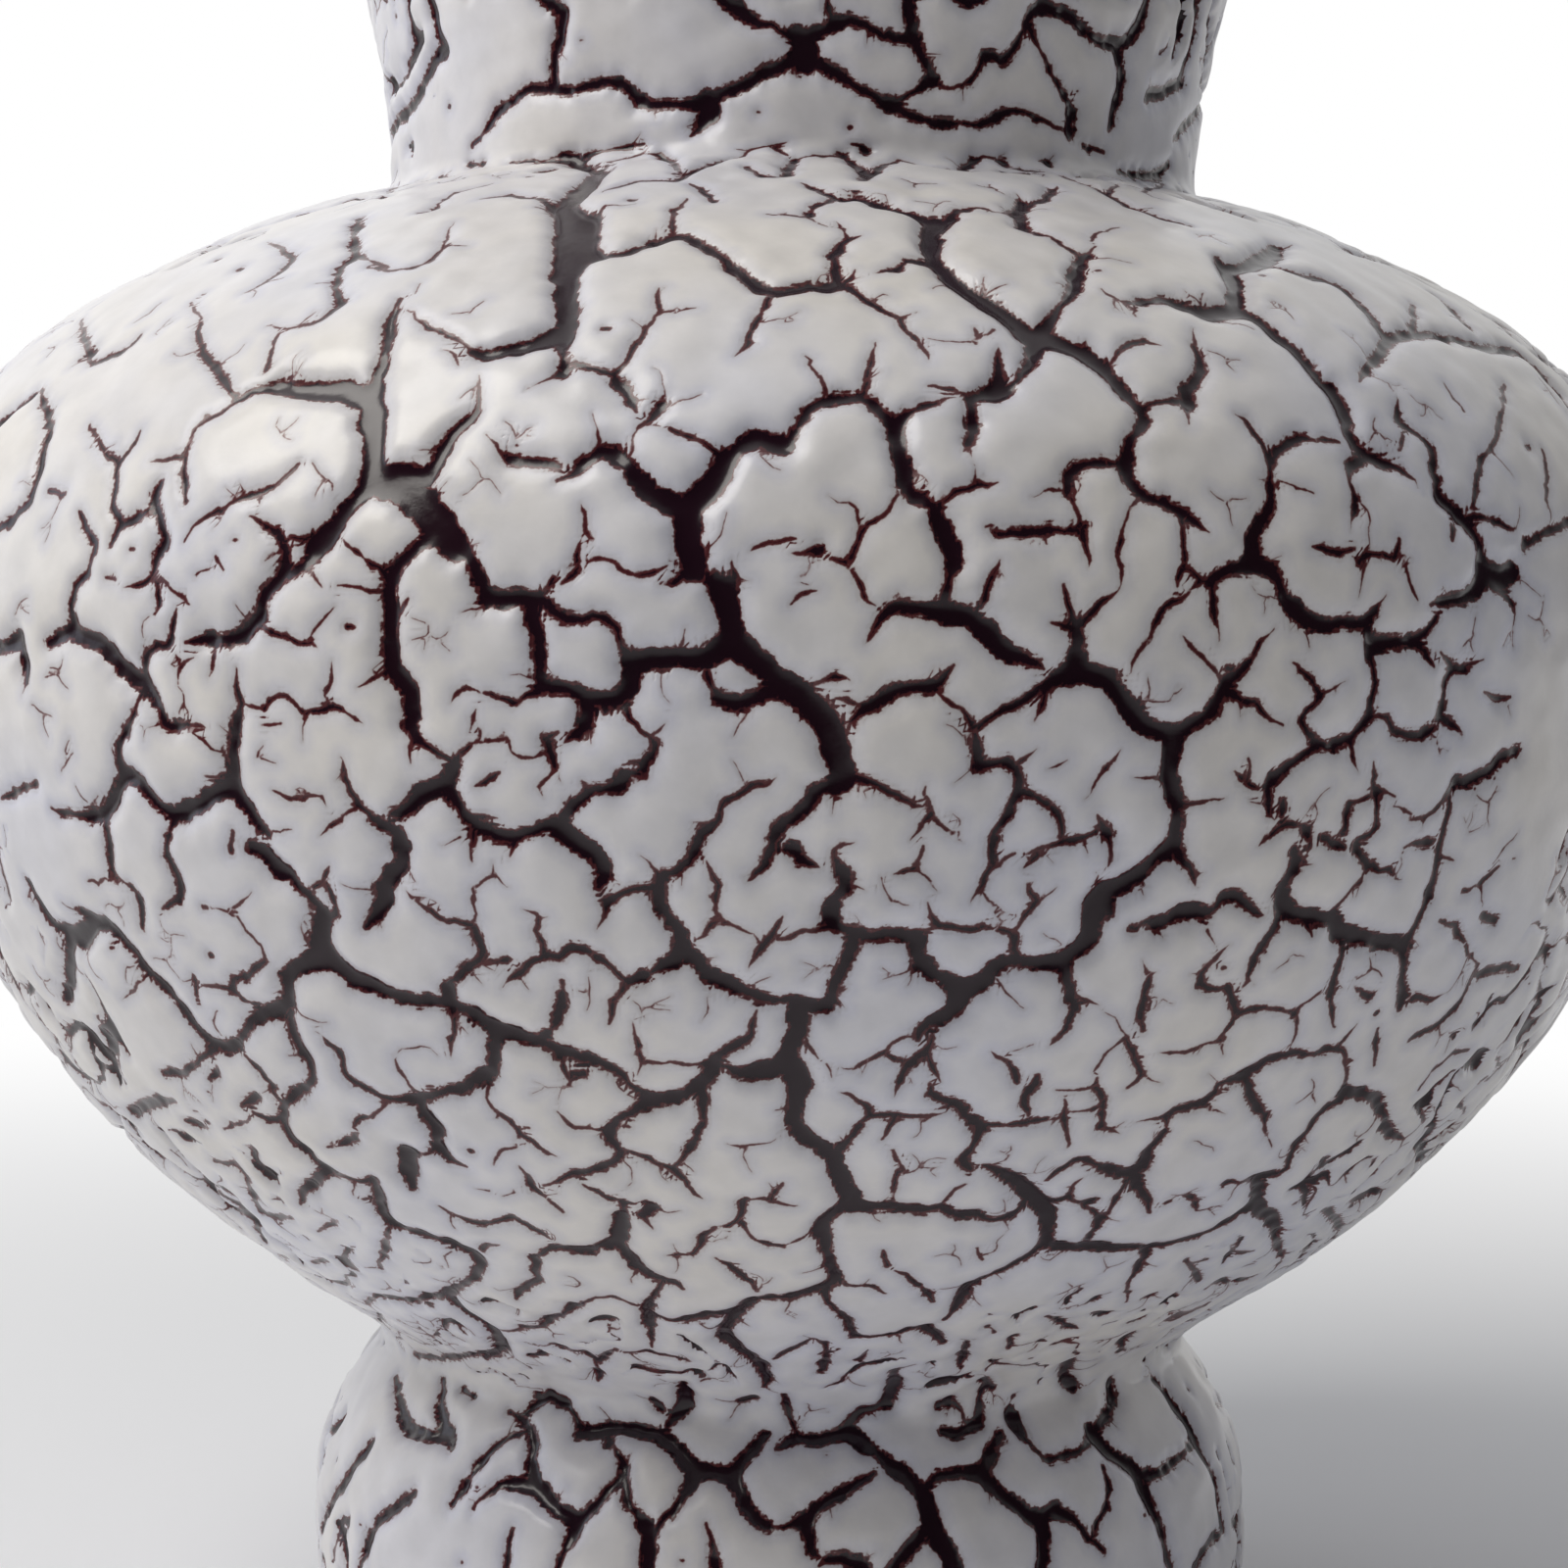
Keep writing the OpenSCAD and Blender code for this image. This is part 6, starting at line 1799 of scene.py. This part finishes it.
@dataclass
class Studio:
    """A pale floor, a soft window high on the left, and a white surround."""

    floor_colour: str = "#f4f5f8"
    floor_size: float = 3.0
    bright_side: Place = (-0.25, 0.72, 0.65)
    surround: Span = (0.05, 0.47)
    mirrored: Span = (0.04, 1.0)
    key_watts: float = 0.93
    key_place: Place = (-0.23, -0.11, 0.36)
    key_side: float = 0.24
    key_colour: str = "#fffcf6"
    glint_watts: float = 0.25
    glint_place: Place = (-0.62, 0.10, 0.20)
    glint_side: float = 0.3
    glint_colour: str = "#dfeaff"
    aim: Place = (0.0, 0.0, 0.07)
    floor_fade: Span = (0.06, 0.31)
    mirror_depths: Span = (-0.12, 0.15)
    backdrop_start: float = 0.0
    fill_start: float = -0.45
    side_fade: float = 0.9

    def lamp(self, name: str, watts: float, place: Place, side: float, colour: str) -> None:
        """Adds a square soft lamp that faces the vase.

        Args:
            name: The lamp's name.
            watts: Its power.
            place: Where it stands, in metres.
            side: Length of its side, in metres.
            colour: Colour of its light.
        """
        lamp = bpy.data.objects.new(name, bpy.data.lights.new(name, "AREA"))
        lamp.data.energy = watts
        lamp.data.size = side
        lamp.data.color = linear(colour)[:3]
        lamp.location = place
        lamp.rotation_mode = "QUATERNION"
        lamp.rotation_quaternion = (Vector(self.aim) - Vector(place)).to_track_quat("-Z", "Y")
        bpy.context.scene.collection.objects.link(lamp)

    def floor(self) -> None:
        """Lays the floor, which fades to white far from the vase so that no horizon shows."""
        bm = bmesh.new()
        bmesh.ops.create_grid(bm, x_segments=1, y_segments=1, size=self.floor_size)
        mesh = bpy.data.meshes.new("floor")
        bm.to_mesh(mesh)
        bm.free()
        floor = bpy.data.objects.new("floor", mesh)
        bpy.context.scene.collection.objects.link(floor)
        material, tree = new_material("pale_floor")
        place = add_node(tree, "ShaderNodeTexCoord").outputs["Object"]
        far = add_node(tree, "ShaderNodeVectorMath", {0: place}, operation="LENGTH").outputs["Value"]
        fade = add_node(
            tree, "ShaderNodeMapRange",
            {"Value": far, "From Min": self.floor_fade[0], "From Max": self.floor_fade[1]},
            interpolation_type="SMOOTHSTEP"
        ).outputs["Result"]
        rays = add_node(tree, "ShaderNodeLightPath").outputs
        seen = add_node(
            tree, "ShaderNodeMath", {0: rays["Is Camera Ray"], 1: rays["Is Glossy Ray"]}, operation="MAXIMUM"
        ).outputs[0]
        share = add_node(tree, "ShaderNodeMath", {0: fade, 1: seen}, operation="MULTIPLY").outputs[0]
        # For glossy rays the far floor glows white, dim in front and full behind. This is a painted
        # reflection for the glaze to mirror, not light from the lamps.
        depth = add_node(tree, "ShaderNodeSeparateXYZ", {0: place}).outputs["Y"]
        mirrored = add_node(
            tree, "ShaderNodeMapRange",
            {"Value": depth, "From Min": self.mirror_depths[0], "From Max": self.mirror_depths[1],
             "To Min": self.mirrored[0], "To Max": self.mirrored[1]}
        ).outputs["Result"]
        glow = add_node(
            tree, "ShaderNodeMath", {0: mirrored, 1: rays["Is Camera Ray"]}, operation="MAXIMUM"
        ).outputs[0]
        pale = add_node(
            tree, "ShaderNodeBsdfDiffuse", {"Color": linear(self.floor_colour)}
        ).outputs["BSDF"]
        white = add_node(
            tree, "ShaderNodeEmission", {"Color": (1, 1, 1, 1), "Strength": glow}
        ).outputs["Emission"]
        surface = add_node(tree, "ShaderNodeMixShader", {0: share, 1: pale, 2: white}).outputs["Shader"]
        add_node(tree, "ShaderNodeOutputMaterial", {"Surface": surface})
        dress(floor, material)

    def build(self) -> None:
        """Sets up the lamps, the surround and the floor."""
        scene = bpy.context.scene
        scene.view_settings.view_transform = "Standard"
        scene.world = bpy.data.worlds.new("studio")
        scene.world.use_nodes = True
        tree = scene.world.node_tree
        tree.nodes.clear()
        rays = add_node(tree, "ShaderNodeLightPath").outputs
        seen = add_node(
            tree, "ShaderNodeMath", {0: rays["Is Camera Ray"], 1: rays["Is Glossy Ray"]}, operation="MAXIMUM"
        ).outputs[0]
        clear = add_node(
            tree, "ShaderNodeMath", {0: seen, 1: rays["Is Transmission Ray"]}, operation="MAXIMUM"
        ).outputs[0]
        way = add_node(tree, "ShaderNodeTexCoord").outputs["Generated"]
        bright = add_node(
            tree, "ShaderNodeVectorMath", {0: way, 1: self.bright_side}, operation="DOT_PRODUCT"
        ).outputs["Value"]
        backdrop, fill = (
            add_node(
                tree, "ShaderNodeMapRange",
                {"Value": bright, "From Min": start, "From Max": start + self.side_fade, "To Min": low,
                 "To Max": high}
            ).outputs["Result"]
            for start, (low, high) in (
                (self.backdrop_start, self.mirrored), (self.fill_start, self.surround)
            )
        )
        shown = add_node(
            tree, "ShaderNodeMath", {0: backdrop, 1: rays["Is Camera Ray"]}, operation="MAXIMUM"
        ).outputs[0]
        strength = add_node(
            tree, "ShaderNodeMapRange", {"Value": clear, "To Min": fill, "To Max": shown}
        ).outputs["Result"]
        light = add_node(
            tree, "ShaderNodeBackground", {"Color": (1, 1, 1, 1), "Strength": strength}
        ).outputs["Background"]
        add_node(tree, "ShaderNodeOutputWorld", {"Surface": light})
        self.lamp("window", self.key_watts, self.key_place, self.key_side, self.key_colour)
        self.lamp("side_window", self.glint_watts, self.glint_place, self.glint_side, self.glint_colour)
        self.floor()


def main() -> None:
    """Builds the vase, its camera and its studio."""
    logging.basicConfig(level=logging.INFO, format="%(name)s: %(message)s")
    outline = VaseOutline()
    camera = PhotoCamera()
    DressedNodes().build()
    CrawledGlaze(outline, camera).build(CrackleFinish().build())
    Studio().build()
    camera.build()


if __name__ == "__main__":
    main()
